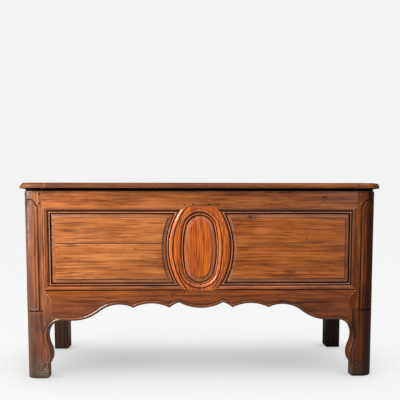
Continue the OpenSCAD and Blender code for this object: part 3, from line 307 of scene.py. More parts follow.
def waxedOak(name, s):
    # Old oak, planed by hand and waxed for two centuries: swaying streaks along the grain, cloudy
    # patina, a satin wax film, black dirt in the corners and paler rubbed edges.
    s = {**commonFinish, **s}
    material = bpy.data.materials.new(name)
    material.use_nodes = True
    tree = material.node_tree
    tree.nodes.clear()
    coord = addNode(tree, "TexCoord", {})
    x, y, height = addNode(tree, "SeparateXYZ", {0: coord.outputs["Object"]}).outputs
    facing = addNode(tree, "SeparateXYZ", {0: coord.outputs["Normal"]}).outputs[2]
    grain, total, drift = oakGrain(tree, coord, s)
    ramp = addNode(tree, "ValToRGB", {"Fac": total})
    colour = setRamp(ramp, [(0.455, s["dark"]), (0.57, s["mid"]), (0.69, s["light"])])
    colour = layer(tree, colour, grain["fleck"], (0.58, 0.64), (0, 0.8), grimeAndShadeTones["pores"], "MULTIPLY")
    colour = layer(tree, colour, grain["smudge"], (0.54, 0.72), (0, 0.6), grimeAndShadeTones["stain"], "MULTIPLY")
    # paler patches on sunk bevels: dust and old wax, and a painted sheen
    if "dull" in s:
        colour = dustAndSheenOnBevels(tree, colour, y, grain["cloud"], s)
    colour = placedMarks(tree, colour, coord, drift, s["marks"])
    # darker towards the bottom; on the rear posts this is painted shade under the chest
    colour = layer(tree, colour, height, (s["lowFrom"], s["lowTo"]), (1, 0), s["low"], "MULTIPLY")
    if "below" in s:                    # the lower pegs have the colour of the apron round them
        colour = layer(tree, colour, height, (0.5, 0.501), (1, 0), s["below"])
    if "foot" in s:                     # the foot is scuffed grey by brooms and wet floors
        colour = layer(tree, colour, height, (0.012, 0.1), (0.7, 0), s["foot"])
    if "corner" in s:                   # the rounded corner of a post is darkened, as patina of handling and as painted shade on the turn of the corner
        aside = addNode(tree, "Math", {"operation": "ABSOLUTE", 0: x}).outputs[0]
        colour = layer(tree, colour, aside, (0.668, 0.69), (0, 1), s["corner"], "MULTIPLY")
    colour, hollow = dirtShadeAndWear(tree, colour, facing, height, s)
    waxed = addNode(tree, "MapRange", {"Value": grain["cloud"], "From Min": 0.3, "From Max": 0.7,
                                       "To Min": s["smooth"], "To Max": s["smooth"] + 0.16})
    matt = addNode(tree, "MapRange", {"Value": hollow, "From Min": 0.4, "From Max": 0.9,
                                      "To Min": 0.95, "To Max": 0.2})
    rough = addNode(tree, "Math", {"operation": "MAXIMUM", 0: waxed.outputs[0], 1: matt.outputs[0]})
    film = addNode(tree, "MapRange", {"Value": hollow, "From Min": 0.5, "From Max": 0.9,
                                      "To Max": s["coat"]})
    rounded = addNode(tree, "Bevel", {"samples": 4, "Radius": 0.0012})
    relief = addNode(tree, "Bump", {"Height": total, "Normal": rounded.outputs[0],
                                    "Strength": 0.5, "Distance": 0.003})
    shader = addNode(tree, "BsdfPrincipled", {"Base Color": colour, "Normal": relief.outputs[0],
                                              "Roughness": rough.outputs[0], "IOR": 1.45,
                                              "Specular IOR Level": s["specular"],
                                              "Coat Roughness": 0.12, "Coat Weight": film.outputs[0]})
    addNode(tree, "OutputMaterial", {"Surface": shader.outputs[0]})
    return material


def forgedIron(name):
    # Iron forged by hand and gone brown: hammer marks 7 mm apart, scale, and a dull shine on what is high.
    material = bpy.data.materials.new(name)
    material.use_nodes = True
    tree = material.node_tree
    tree.nodes.clear()
    coord = addNode(tree, "TexCoord", {})
    scale = addNode(tree, "TexNoise", {"Vector": coord.outputs["Object"], "Scale": 90, "Detail": 6,
                                       "Roughness": 0.65})
    marks = addNode(tree, "TexVoronoi", {"Vector": coord.outputs["Object"], "Scale": 140,
                                         "feature": "SMOOTH_F1"})
    ramp = addNode(tree, "ValToRGB", {"Fac": scale.outputs["Fac"]})
    colour = setRamp(ramp, [(0.35, "#241c18"), (0.52, "#3a312c"), (0.7, "#6a4733")])
    rough = addNode(tree, "MapRange", {"Value": scale.outputs["Fac"], "To Min": 0.35, "To Max": 0.8})
    relief = addNode(tree, "Bump", {"Height": marks.outputs["Distance"], "Strength": 0.4,
                                    "Distance": 0.0008})
    shader = addNode(tree, "BsdfPrincipled", {"Base Color": colour, "Metallic": 0.8,
                                              "Roughness": rough.outputs[0], "Normal": relief.outputs[0]})
    addNode(tree, "OutputMaterial", {"Surface": shader.outputs[0]})
    return material


# carved front, cut from grids like a relief: sizes in millimetres, depth behind the front face

chest = {
    "halfWidth": 725, "top": 785.5, "frontY": -293.75, "railThick": 32,
    "postIn": 616.5, "postDeep": 56, "cornerRadius": 50,
    "openTop": 684.5, "openBottom": 393, "mouldWidth": 28.5, "earDrop": 34,
    "lidGapHigh": 11.5, "lidGapDeep": 14,    # the gap that age has opened under the lid, its black a painted shade
    "coveredDeep": 14,                  # how far a rail lies back where the muntin covers it
    "endFrom": 590,                     # from here outwards the rails follow their mitred ends
}
midZ = (chest["openTop"] + chest["openBottom"]) / 2
mouldTop = chest["openTop"] + chest["mouldWidth"]
mouldBottom = chest["openBottom"] - chest["mouldWidth"]
mitreX = chest["postIn"] + chest["mouldWidth"]
earZ = mouldBottom - chest["earDrop"]
lidGapZ = chest["top"] - chest["lidGapHigh"]


def steps(*stretches):
    # places along a line: each stretch is its start, its end and its spacing
    places = []
    for a, b, spacing in stretches:
        count = max(1, round(abs(b - a) / spacing))
        places += [a + (b - a) * k / count for k in range(count + 1)]
    return np.unique(np.round(places, 4))


def quarterRound(gap, radius):
    # depth of a rubbed corner at this distance from the edge
    g = np.clip(radius - gap, 0, radius)
    return radius - np.sqrt(radius * radius - g * g)


def handMade(x, z, seed, size, depth):
    # long soft waves that a hand plane and two centuries leave in a flat face
    flat = [noise.noise(Vector((a / size, seed, b / size))) for a, b in zip(np.ravel(x), np.ravel(z))]
    return depth * np.reshape(flat, np.shape(x))


mouldProfile = {                        # depths in millimetres, places as shares of the moulding's width
    "filletDeep": 5.2, "grooveDeep": 10.5, "ovoloDeep": 7, "crestDeep": 0.2, "steep": 62,
    "grooveAt": (0.16, 0.19, 0.29, 0.32), "quirkAt": (0.8, 0.84, 0.93, 0.99), "flatAt": 1.03,
    "faintQuirk": 0.7, "deepQuirk": 4.4,
}
ovoloPlaces = (0.37, 0.43, 0.5, 0.57, 0.64, 0.71, 0.76)
mouldPlaces = np.array([0, 0.03, *mouldProfile["grooveAt"], *ovoloPlaces, *mouldProfile["quirkAt"],
                        mouldProfile["flatAt"]])   # where the profile turns or bends


def mouldDepth(gap, width, quirk=mouldProfile["faintQuirk"], groove=mouldProfile["grooveDeep"]):
    # a fillet at the sight edge, a groove, a broad ovolo and a quirk before the flat
    p = mouldProfile
    share = gap / width
    foot, crest, top = p["grooveAt"][-1], p["quirkAt"][0], p["crestDeep"]
    steep = math.radians(p["steep"])
    turn = np.arcsin(np.clip((crest - share) / (crest - foot), 0, 1) * math.sin(steep))
    ovolo = top + (p["ovoloDeep"] - top) * (1 - np.cos(turn)) / (1 - math.cos(steep))
    fillet = np.interp(share, [0, 0.03, p["grooveAt"][2], foot],
                       [6, p["filletDeep"], p["filletDeep"], p["ovoloDeep"]])
    inner = np.maximum(fillet, groove * np.interp(share, p["grooveAt"], [0, 1, 1, 0]))
    outer = np.maximum(np.interp(share, [p["quirkAt"][-1], p["flatAt"]], [top, 0]),
                       quirk * np.interp(share, p["quirkAt"], [0, 1, 1, 0]))
    return np.where(share < foot, inner, np.where(share > crest, outer, ovolo))


def lidGap(z):
    high = chest["lidGapHigh"]
    return np.interp(chest["top"] - z, [high, high + 0.8], [chest["lidGapDeep"], 0])


def reliefPiece(name, x, z, y, closeAt):
    # a grid laid on the front, its points set to the carved places, then walled back to closeAt and shut
    rows, columns = x.shape
    deselectAll()
    bpy.ops.mesh.primitive_grid_add(x_subdivisions=columns - 1, y_subdivisions=rows - 1, size=1)
    piece = bpy.context.object
    piece.name = name
    piece.data.name = name
    places = np.stack([x, y + chest["frontY"], z], axis=-1).reshape(-1, 3) * 0.001
    piece.data.vertices.foreach_set("co", places.ravel())
    bpy.ops.object.mode_set(mode="EDIT")
    bpy.ops.mesh.select_mode(type="EDGE")
    bpy.ops.mesh.select_all(action="DESELECT")
    bpy.ops.mesh.select_non_manifold()
    bpy.ops.mesh.extrude_region_move(TRANSFORM_OT_translate={"value": (0, 0.001, 0)})
    bpy.ops.object.mode_set(mode="OBJECT")
    for vertex in piece.data.vertices:
        if vertex.select:
            vertex.co.y = (closeAt + chest["frontY"]) * 0.001
    bpy.ops.object.mode_set(mode="EDIT")
    bpy.ops.mesh.edge_face_add()
    bpy.ops.mesh.select_all(action="SELECT")
    bpy.ops.mesh.remove_doubles(threshold=0.00001)
    bpy.ops.mesh.normals_make_consistent(inside=False)
    bpy.ops.object.mode_set(mode="OBJECT")
    bpy.ops.object.shade_smooth_by_angle(angle=math.radians(38))
    return piece


# the scalloped lower edge, a chain of arcs that runs from the apron down the legs

scallop = {
    "apronHigh": 153, "lobeHigh": 101.5, "lobeHalf": 91, "notchRise": 23.5,
    "cuspIn": 131, "cuspOut": 281, "cuspHigh": 100, "archRise": 18,
    "outerRise": 13.5, "outerRun": 58, "levelRun": 43, "flankRadius": 110,
    "legCurve": 64, "waistIn": 20.5, "kneeIn": 3, "kneeZ": 93.5, "scrollRadius": 60, "footIn": 18,
}


def riseRadius(half, rise):
    return (half * half + rise * rise) / (2 * rise)


def arcPoints(centre, radius, start, end, count):
    turn = np.radians(np.linspace(start, end, count))
    return np.stack([centre[0] + radius * np.cos(turn), centre[1] + radius * np.sin(turn)], axis=1)


def angleOf(centre, point):
    return math.degrees(math.atan2(point[1] - centre[1], point[0] - centre[0]))


def scallopEdge(s):
    # points of the right half, from the middle of the lobe to the floor
    bottom = chest["openBottom"]
    lobeZ, cuspZ, levelZ = bottom - s["lobeHigh"], bottom - s["cuspHigh"], bottom - s["apronHigh"]
    notch = (s["lobeHalf"], lobeZ + s["notchRise"])
    cuspA, cuspB = (s["cuspIn"], cuspZ), (s["cuspOut"], cuspZ)
    lobeR = riseRadius(s["lobeHalf"], s["notchRise"])
    lobeC = (0, lobeZ + lobeR)
    dx, dz = cuspA[0] - notch[0], notch[1] - cuspA[1]
    span = math.hypot(dx, dz)
    off = math.sqrt(s["flankRadius"] ** 2 - span * span / 4) / span
    flankC = ((notch[0] + cuspA[0]) / 2 - off * dz, (notch[1] + cuspA[1]) / 2 - off * dx)
    archR = riseRadius((s["cuspOut"] - s["cuspIn"]) / 2, s["archRise"])
    archC = ((s["cuspIn"] + s["cuspOut"]) / 2, cuspZ + s["archRise"] - archR)
    outerR = riseRadius(s["outerRun"], s["outerRise"])
    outerC = (s["cuspOut"] + s["outerRun"], cuspZ + s["outerRise"] - outerR)
    legC = (chest["postIn"] + s["waistIn"] - s["legCurve"], levelZ - s["legCurve"])
    sweepX, fall = legC[0] - s["levelRun"], outerC[1] - levelZ
    sweepR = ((sweepX - outerC[0]) ** 2 + fall ** 2 - outerR ** 2) / (2 * (outerR + fall))
    sweepC = (sweepX, levelZ + sweepR)
    turnBack = angleOf(outerC, sweepC)
    kneeX, waistX = chest["postIn"] + s["kneeIn"], chest["postIn"] + s["waistIn"]
    footX = chest["postIn"] + s["footIn"]
    drop = legC[1] - s["kneeZ"]
    bendSum = ((waistX - kneeX) ** 2 + drop ** 2) / (2 * (waistX - kneeX))
    bend = math.degrees(math.asin(drop / bendSum))
    curl = math.degrees(math.acos((kneeX + s["scrollRadius"] - footX) / s["scrollRadius"]))
    return np.concatenate([
        arcPoints(lobeC, lobeR, -90, angleOf(lobeC, notch), 24),
        arcPoints(flankC, s["flankRadius"], angleOf(flankC, notch), angleOf(flankC, cuspA), 14),
        arcPoints(archC, archR, angleOf(archC, cuspA), angleOf(archC, cuspB), 36),
        arcPoints(outerC, outerR, angleOf(outerC, cuspB), turnBack, 30),
        arcPoints(sweepC, sweepR, turnBack - 180, -90, 30),
        arcPoints(legC, s["legCurve"], 90, 0, 40),
        arcPoints((waistX - bendSum / 2, legC[1]), bendSum / 2, 0, -bend, 24),
        arcPoints((kneeX + bendSum / 2, s["kneeZ"]), bendSum / 2, 180 - bend, 180, 24),
        arcPoints((kneeX + s["scrollRadius"], s["kneeZ"]), s["scrollRadius"], 180, 180 + curl, 24),
        [(footX, 0)],
    ])


def gapTo(x, z, line):
    # distance from each point to a line of many points
    best = np.full(np.shape(x), 1e9)
    for (ax, az), (bx, bz) in zip(line[:-1], line[1:]):
        dx, dz = bx - ax, bz - az
        long = max(dx * dx + dz * dz, 1e-9)
        t = np.clip(((x - ax) * dx + (z - az) * dz) / long, 0, 1)
        best = np.minimum(best, np.hypot(x - ax - t * dx, z - az - t * dz))
    return best


edgeLine = scallopEdge(scallop)
legLine = edgeLine[edgeLine[:, 0] > 560]


beadRows = (0, 0.3, 0.7, 1.1, 1.6, 2.2, 2.8, 3.4, 4, 4.7, 5.4, 6.2, 7, 8.4, 10, 11.4, 12.4, 13.6,
            15.2, 17, 20)               # how far above the edge the bead needs a row of points


def beadDepth(gap, fade=1.0):
    # a bead that rounds under to the edge, its upper flank falls to a faint groove before the flat
    return fade * np.interp(gap, [0, 0.7, 1.6, 2.8, 4, 5.4, 7, 8.4, 12.4, 13.6, 15.2, 17],
                            [7.6, 5.6, 4.0, 2.6, 1.6, 0.8, 0.3, 0.5, 2.9, 2.8, 0.6, 0])


muntinSettings = {
    "centreX": -5.5, "halfWidth": 136.5, "sideRadius": 304, "mouldWidth": 24, "profileWidth": 29,
    "shoulderDrop": 4.3,                # the top of the muntin stops short of the rail's quirk
    "ovalHalfWidth": 71, "ovalHalfHeight": 141, "ovalEndRadius": 62, "ovalDrop": 1.5,
    "ringWidth": 24, "bevelWidth": 21.5, "fieldIn": 4.5, "fieldStep": 3.6,
    "sideQuirk": (4.6, 2),              # depths left and right
    "ringQuirk": (1.7, 4.8), "ringGroove": (10.5, 7.5),    # depths at the upper left and the lower right
    "crackX": 6, "crackLow": 600,
}
shoulderZ = mouldTop - muntinSettings["shoulderDrop"]


def railEnd(z):
    # how far a rail reaches at this height: mitred at the moulding, stepped back under the ear
    return np.interp(z, [earZ, mouldBottom, chest["openBottom"], chest["openTop"], mouldTop],
                     [chest["postIn"], mitreX, chest["postIn"], chest["postIn"], mitreX])


def curvePlace(z, gap):
    # x of the muntin's curved side at this height, moved in by the gap
    s = muntinSettings
    return s["halfWidth"] - s["sideRadius"] + np.sqrt((s["sideRadius"] - gap) ** 2 - (z - midZ) ** 2)


def overMuntin(x, z, reach=0):
    # where the muntin covers a rail
    return np.abs(x - muntinSettings["centreX"]) < curvePlace(z, mitreGap(z)) + reach


def mitreGap(z):
    # how much of the curved moulding is gone at this height, along the mitres at both ends
    beyond = np.abs(z - midZ) - (chest["openTop"] - midZ)
    return muntinSettings["mouldWidth"] * np.clip(beyond / chest["mouldWidth"], 0, 1)


boardTones = {
    "rail": {"dark": "#5c2b10", "mid": "#a55b28", "light": "#cb7a3a", "worn": "#dc8c5f"},
    "leftPanel": {"dark": "#753d18", "mid": "#ab622c", "light": "#c17e41", "worn": "#d99c78"},
    "rightPanel": {"dark": "#652f0d", "mid": "#a0531d", "light": "#b96b2d", "worn": "#bd7d5e"},
    "muntin": {"dark": "#733008", "mid": "#ba5915", "light": "#e17c21", "worn": "#e9945e"},
    "post": {"coat": 0.3, "smooth": 0.34, "dark": "#522b12", "mid": "#99572f", "light": "#bf7b48",
             "worn": "#e9a37e", "corner": "#b9b4b8", "foot": "#62554a", "low": "#b0a08c"},
    "darkPost": {"coat": 0.08, "specular": 0.3, "smooth": 0.34, "dark": "#381905", "mid": "#753c10",
                 "light": "#a3591a", "worn": "#b67a4c", "corner": "#b0875e", "foot": "#393229"},
    "apron": {"specular": 0.35, "dark": "#461e08", "mid": "#874314", "light": "#ad5f24", "worn": "#c78758"},
    # the lid's one mark darkens the left half of the lid: painted shade
    "lid": {"coat": 0.05, "specular": 0.3, "smooth": 0.42, "dark": "#421f06", "mid": "#793f12",
            "light": "#9a5c20", "worn": "#bd7c48", "marks": [(-800, 796, 1500, 300, 0, 0.4)]},
    "plain": {"dark": "#4a2711", "mid": "#7f4a27", "light": "#9e6639", "worn": "#a2704a"},
    "raw": {"dark": "#6d5238", "mid": "#93744f", "light": "#b0946c", "worn": "#a88e6a"},
    # below about 0.3 m the rear legs are multiplied by a bluish dark: painted shade under the chest
    "backPost": {"coat": 0.05, "specular": 0.25, "dark": "#4a2711", "mid": "#7f4a27", "light": "#9e6639",
                 "worn": "#94694a", "low": "#6d748d", "lowFrom": 0.29, "lowTo": 0.36},
    "peg": {"coat": 0.03, "specular": 0.2, "dark": "#1e0a06", "mid": "#3c190f", "light": "#552a1a",
            "worn": "#5a2f1c", "below": "#6b3a1c", "wear": 0},
}

# front posts: moulded inner edge, rounded outer corner with a carved panel, bead and scroll on the leg

postSettings = {
    "panelLow": 283.5, "panelHigh": 712, "panelHalf": 30, "panelShoulder": 7, "panelPeak": 24,
    "panelTurn": 27,                    # degrees round the corner to the middle of the carved panel
    "scrollCentre": (655, 50), "scrollStart": 19, "scrollEnd": 5,
}


def cornerRelief(chord, z, s):
    # groove, bead and sunk line that frame the corner panel, under a pointed arch on two shoulders
    half, high, peak = s["panelHalf"], s["panelHigh"], s["panelPeak"]
    run = half - s["panelShoulder"]
    radius = riseRadius(peak, run)
    arch = arcPoints((radius - run, high), radius, 180, angleOf((radius - run, 0), (0, peak)), 18)
    left = np.concatenate([[(-half, s["panelLow"]), (-half, high - 1)], arch])
    outline = np.concatenate([left, left[::-1] * [-1, 1], [(-half, s["panelLow"])]])
    gap = gapTo(chord, z, outline)
    reach = np.interp(z, left[:, 1], -left[:, 0])
    inside = (np.abs(chord) < reach) & (z > s["panelLow"]) & (z < high + peak)
    gap = np.where(inside, gap, -gap)
    return np.interp(gap, [-7, -6, -5, -2.4, -1, 0.4, 2, 3.6, 5.2, 6.3, 7.2, 8.2, 9.6, 13],
                     [0, 0.3, 3.8, 4.2, 2.4, 0.2, -0.8, -1.1, -0.6, 0.6, 1.9, 1.9, 0.8, 0.3])


def scrollRelief(x, z, s):
    # a ridge that curls in from the bead to an eye, with the ground cut away round it
    turn = np.radians(np.linspace(170, 560, 40))
    radius = np.linspace(s["scrollStart"], s["scrollEnd"], 40)
    cx, cz = s["scrollCentre"]
    curl = np.stack([cx + radius * np.cos(turn), cz + radius * np.sin(turn)], axis=1)
    gap = gapTo(x, z, curl)
    return np.interp(gap, [0, 1.5, 2.8, 4, 5.5, 8], [-1.2, -0.9, 0.4, 1.9, 1.5, 0])


def frontPost(name, side, seed, s):
    heights = steps((0, 2.4, 0.6), (2.4, 80, 1.6), (80, 226, 2.4), (226, 272, 3), (272, 297, 1.1),
                    (297, earZ, 4), (earZ, mouldBottom, 3.4), (mouldBottom, chest["openBottom"], 2),
                    (chest["openBottom"], chest["openTop"], 8), (chest["openTop"], mouldTop, 1.6),
                    (mouldTop, 744, 1.1), (744, 773, 5), (773, 774.8, 0.45), (774.8, chest["top"], 4))
    inner = railEnd(heights)
    legPart = legLine[legLine[:, 0] >= chest["postIn"] - 0.5][::-1]
    inner = np.where(heights < 223, np.interp(heights, legPart[:, 1], legPart[:, 0]), inner)
    whole = chest["halfWidth"] - chest["cornerRadius"]
    flatWide = whole - chest["postIn"]
    across = np.unique(np.round(np.concatenate([mouldPlaces * chest["mouldWidth"],
                                                steps((0, flatWide, 1.3))]), 3))
    turn = np.radians(np.linspace(0, 90, 52)[1:])
    flatX, flatZ = np.meshgrid(across, heights)
    innerX = np.repeat(inner[:, None], len(across), axis=1)
    flatX = np.where(flatZ < earZ, innerX + flatX * (whole - innerX) / flatWide,
                     np.maximum(innerX, chest["postIn"] + flatX))
    roundTurn = np.repeat(turn[None, :], len(heights), axis=0)
    sideX = np.full((len(heights), 2), chest["halfWidth"])
    sideY = np.tile([chest["postDeep"] - 3.0, chest["postDeep"]], (len(heights), 1))
    radius = chest["cornerRadius"]
    gridX = np.concatenate([flatX, whole + radius * np.sin(roundTurn), sideX], axis=1)
    gridY = np.concatenate([flatX * 0, radius - radius * np.cos(roundTurn), sideY], axis=1)
    gridTurn = np.concatenate([flatX * 0, roundTurn, sideX * 0 + math.pi / 2], axis=1)
    gridZ = np.repeat(heights[:, None], gridX.shape[1], axis=1)

    aim = math.radians(s["panelTurn"])
    chord = (gridX - whole) * math.cos(aim) + (gridY - radius) * math.sin(aim)
    depth = cornerRelief(chord, gridZ, s)
    inFrame = (gridZ > mouldBottom) & (gridZ < mouldTop) & (gridTurn == 0)
    quirk = mouldProfile["deepQuirk" if name == "front_post_right" else "faintQuirk"]
    moulding = mouldDepth(gridX - chest["postIn"], chest["mouldWidth"], quirk)
    depth = np.where(inFrame, np.maximum(depth, moulding), depth)
    fade = np.interp(gridZ, [30, 60, 100, 150, 240], [0, 0.5, 0.65, 0.85, 1])
    bead = beadDepth(gapTo(gridX, gridZ, legLine), fade)
    depth = np.where((gridZ < earZ) & (gridTurn < 0.3), depth + bead, depth)
    depth = np.where((gridZ < 90) & (gridTurn < 0.4), depth + scrollRelief(gridX, gridZ, s), depth)
    depth = depth + handMade(gridX, gridZ, seed, 70, 0.35) + handMade(gridX, gridZ, seed + 5, 14, 0.12)
    foot = np.clip(1 - gridZ / 14, 0, 1) ** 2
    depth = depth + foot * (1.6 + handMade(gridX, gridZ * 0, seed + 9, 9, 1.6))
    jointGap = np.where(gridZ > mouldTop, gridX - inner[:, None], 9)
    depth = np.maximum(depth + quarterRound(jointGap, 1.3), lidGap(gridZ))
    gridX = gridX - depth * np.sin(gridTurn)
    gridY = np.minimum(gridY + depth * np.cos(gridTurn), chest["postDeep"])
    gridZ = gridZ + foot * np.clip(handMade(gridX, gridY, seed + 3, 12, 1.4), 0, 2)
    return reliefPiece(name, side * gridX, gridZ, gridY, chest["postDeep"])


postMarks = {                           # x and z, half length, half height, turn, strength
    -1: [(-660, 235, 70, 55, 0, 0.42), (-690, 110, 14, 40, 0, 0.35)],
    1: [(640, 200, 30, 50, 10, 0.3), (650, 500, 8, 60, 0, 0.3), (690, 330, 30, 90, 0, 0.4)],
}

for side, name, tone, seed in ((-1, "front_post_left", "post", 1.7),
                               (1, "front_post_right", "darkPost", 8.3)):
    piece = frontPost(name + "_carved", side, seed, postSettings)
    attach(piece, "carcass")
    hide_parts(name)
    piece.data.materials.append(waxedOak("waxedOak" + tone[0].upper() + tone[1:], dict(
        boardTones[tone], grain="frontUp", offset=(seed, 0.09, 0.02 * seed), marks=postMarks[side],
        gap=lidGapZ / 1000)))
print("front posts carved")


# apron: scalloped rail with a bead along its lower edge

def apronRail(name, seed):
    edge = edgeLine[edgeLine[:, 0] <= chest["postIn"]]
    half = np.unique(np.round(np.concatenate([
        steps((0, 150, 1.7), (150, 560, 2.6), (560, chest["postIn"], 1.9)), edge[:, 0]]), 2))
    half = half[np.concatenate([[True], np.diff(half) > 0.3])]
    half[-1] = chest["postIn"]
    x = np.concatenate([-half[:0:-1], half])
    low = np.interp(np.abs(x), edge[:, 0], edge[:, 1])
    slope = np.clip(np.abs(np.gradient(low, x)), 0, 1.4)
    rows = []
    for lift in beadRows:
        rows.append(low + lift * np.sqrt(1 + slope ** 2))
    first = rows[-1]
    wide = mouldPlaces[-1] * chest["mouldWidth"]
    start = chest["openBottom"] - wide
    for share in np.linspace(0, 1, 9)[1:-1]:
        rows.append(first + (start - first) * share)
    for place in mouldPlaces[::-1]:
        rows.append(np.full_like(x, chest["openBottom"] - place * chest["mouldWidth"]))
    gridZ = np.stack(rows)
    gridX = np.repeat(x[None, :], len(rows), axis=0)
    beyond = np.clip((np.abs(gridX) - chest["endFrom"]) / (chest["postIn"] - chest["endFrom"]), 0, 1)
    gridX = np.sign(gridX) * (np.abs(gridX) + beyond * (railEnd(gridZ) - chest["postIn"]))
    depth = beadDepth(gapTo(np.abs(gridX), gridZ, edgeLine))
    rim = chest["openBottom"] - gridZ
    moulding = mouldDepth(rim, chest["mouldWidth"], mouldProfile["deepQuirk"])
    depth = np.where(rim < wide, moulding, depth)
    depth = np.where((gridZ > mouldBottom) & overMuntin(gridX, gridZ, -1), chest["coveredDeep"], depth)
    depth = depth + handMade(gridX, gridZ, seed, 80, 0.5) + handMade(gridX, gridZ, seed + 5, 16, 0.12)
    depth = depth + quarterRound((chest["postIn"] - np.abs(gridX)) + np.where(gridZ > earZ, 40, 0), 1.2)
    return reliefPiece(name, gridX, gridZ, depth, chest["railThick"])


apron = apronRail("front_apron_carved", 3.1)
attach(apron, "carcass")
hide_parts("front_apron_rail")
apron.data.materials.append(waxedOak("waxedOakApron", dict(
    boardTones["apron"], grain="frontAlong", offset=(0.4, 0.05, 0.11),
    marks=[(470, 320, 300, 90, 0, 0.12), (-118, 352, 16, 10, 0, 0.5), (-240, 330, 60, 4, 8, 0.3)])))
print("apron carved")


# top rail with the moulding along its lower edge

def topRail(name, seed):
    half = steps((0, 55, 4), (55, 100, 0.9), (100, 140, 2), (140, chest["endFrom"], 9),
                 (chest["endFrom"], mitreX, 1.9))
    x = np.concatenate([-half[:0:-1], half])
    z = np.unique(np.round(np.concatenate([
        chest["openTop"] + mouldPlaces * chest["mouldWidth"], [shoulderZ, shoulderZ + 0.3],
        steps((mouldTop + 3, 773, 6), (773, 774.8, 0.45), (774.8, chest["top"], 4))]), 3))
    gridX, gridZ = np.meshgrid(x, z)
    gridX = np.sign(gridX) * np.minimum(np.abs(gridX), railEnd(gridZ))
    depth = mouldDepth(gridZ - chest["openTop"], chest["mouldWidth"])
    covered = np.where(gridZ > shoulderZ, 0, chest["coveredDeep"])
    depth = np.where(overMuntin(gridX, gridZ), covered, depth)
    depth = depth + handMade(gridX, gridZ, seed, 90, 0.5) + handMade(gridX, gridZ, seed + 5, 18, 0.1)
    depth = depth + quarterRound(np.where(gridZ > mouldTop, mitreX - np.abs(gridX), 9), 1.3)
    depth = np.maximum(depth, lidGap(gridZ))
    return reliefPiece(name, gridX, gridZ, depth, chest["railThick"])


rail = topRail("front_top_rail_moulded", 5.9)
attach(rail, "carcass")
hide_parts("front_top_rail")
rail.data.materials.append(waxedOak("waxedOakTopRail", dict(
    boardTones["rail"], grain="frontAlong", offset=(0.1, 0.07, -0.2), gap=lidGapZ / 1000,
    marks=[(-640, 770, 60, 9, 0, 0.5), (590, 745, 150, 60, 0, 0.1), (500, 730, 900, 200, 0, 0.3),
           (505, 748, 16, 8, -15, 0.7), (500, 730, 50, 4, -30, 0.4), (300, 722, 60, 4, 3, 0.3)])))
print("top rail moulded")


# centre muntin: curved mouldings on both sides and an oval with a ring, a bevel and a raised field

def ovalGap(x, z, s):
    # distance outwards from the sight edge of the oval, negative inside it
    high, wide, end = s["ovalHalfHeight"], s["ovalHalfWidth"], s["ovalEndRadius"]
    sideRadius = ((high - end) ** 2 + wide * wide - end * end) / (2 * (wide - end))
    sideCentre, endCentre = sideRadius - wide, high - end
    fromSide, up = np.abs(x) + sideCentre, np.abs(z - midZ + s["ovalDrop"])
    onSide = np.arctan2(up, fromSide) < math.atan2(endCentre, sideCentre)
    return np.where(onSide, np.hypot(fromSide, up) - sideRadius, np.hypot(x, up - endCentre) - end)


def fieldDepth(gap, wide, s):
    # a dark gap at the sight edge, then the bevel rises to a small step and the raised field
    step = s["fieldIn"] + s["fieldStep"]
    return np.interp(gap, [-12, 2.4, 3.6, wide - 1.4, wide - 0.2, wide + 0.6, wide + 1.7],
                     [16, 16, 12, step + 0.2, step + 0.6, s["fieldIn"] + 0.6, s["fieldIn"]])


def centreMuntin(name, seed, s):
    z = steps((mouldBottom, shoulderZ, 1.2))
    outer = (mouldPlaces * s["profileWidth"])[::-1]
    rows = []
    for height in z:
        gone = mitreGap(height)
        flat = curvePlace(height, outer[0]) * np.linspace(0, 1, 97)[:-1]
        half = np.concatenate([flat, curvePlace(height, np.maximum(outer, gone))])
        rows.append(np.concatenate([-half[:0:-1], half]))
    gridX = np.stack(rows)
    gridZ = np.repeat(z[:, None], gridX.shape[1], axis=1)
    fromCentre = np.hypot(np.abs(gridX) + s["sideRadius"] - s["halfWidth"], gridZ - midZ)
    depth = mouldDepth(s["sideRadius"] - fromCentre, s["profileWidth"], np.where(gridX < 0, *s["sideQuirk"]))
    oval = ovalGap(gridX, gridZ, s)
    # the ring is cut deeper outside on its lower right, and inside on its upper left
    aside, up = gridX, gridZ - midZ + s["ovalDrop"]
    low = np.interp((aside - up) / np.hypot(np.hypot(aside, up), 1), [-1, -0.4, 0.5], [0, 0.3, 1])
    ring = mouldDepth(np.maximum(oval, 0), s["ringWidth"], np.interp(low, [0, 1], s["ringQuirk"]),
                      np.interp(low, [0, 1], s["ringGroove"]))
    depth = np.where(oval > 0, np.maximum(depth, ring), fieldDepth(-oval, s["bevelWidth"], s))
    depth = depth + handMade(gridX, gridZ, seed, 50, 0.35) + handMade(gridX, gridZ, seed + 5, 12, 0.1)
    crack = np.abs(gridX - s["crackX"] - handMade(gridZ, gridZ, seed + 7, 40, 1.5))
    depth = depth + np.where(gridZ > s["crackLow"], np.interp(crack, [0, 0.8, 1.6], [1.6, 1.0, 0]), 0)
    depth = depth + quarterRound(np.minimum(shoulderZ - gridZ, gridZ - mouldBottom), 1.2)
    return reliefPiece(name, gridX + s["centreX"], gridZ, depth, chest["railThick"])


muntin = centreMuntin("centre_muntin_carved", 2.4, muntinSettings)
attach(muntin, "carcass")
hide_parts("centre_muntin")
muntin.data.materials.append(waxedOak("waxedOakMuntin", dict(
    boardTones["muntin"], grain="frontUp", offset=(0.3, 0.1, 0.05),
    dullDepth=5.4, dull=0.42, dullColour="#a0705a",
    marks=[(-11, 700, 3.5, 3, 0, 0.8), (0, 364, 4, 3, 0, 0.6), (6, 640, 2, 40, 2, 0.5)])))
print("muntin carved")


# front panels: raised fields in two boards each, bevelled towards the frame

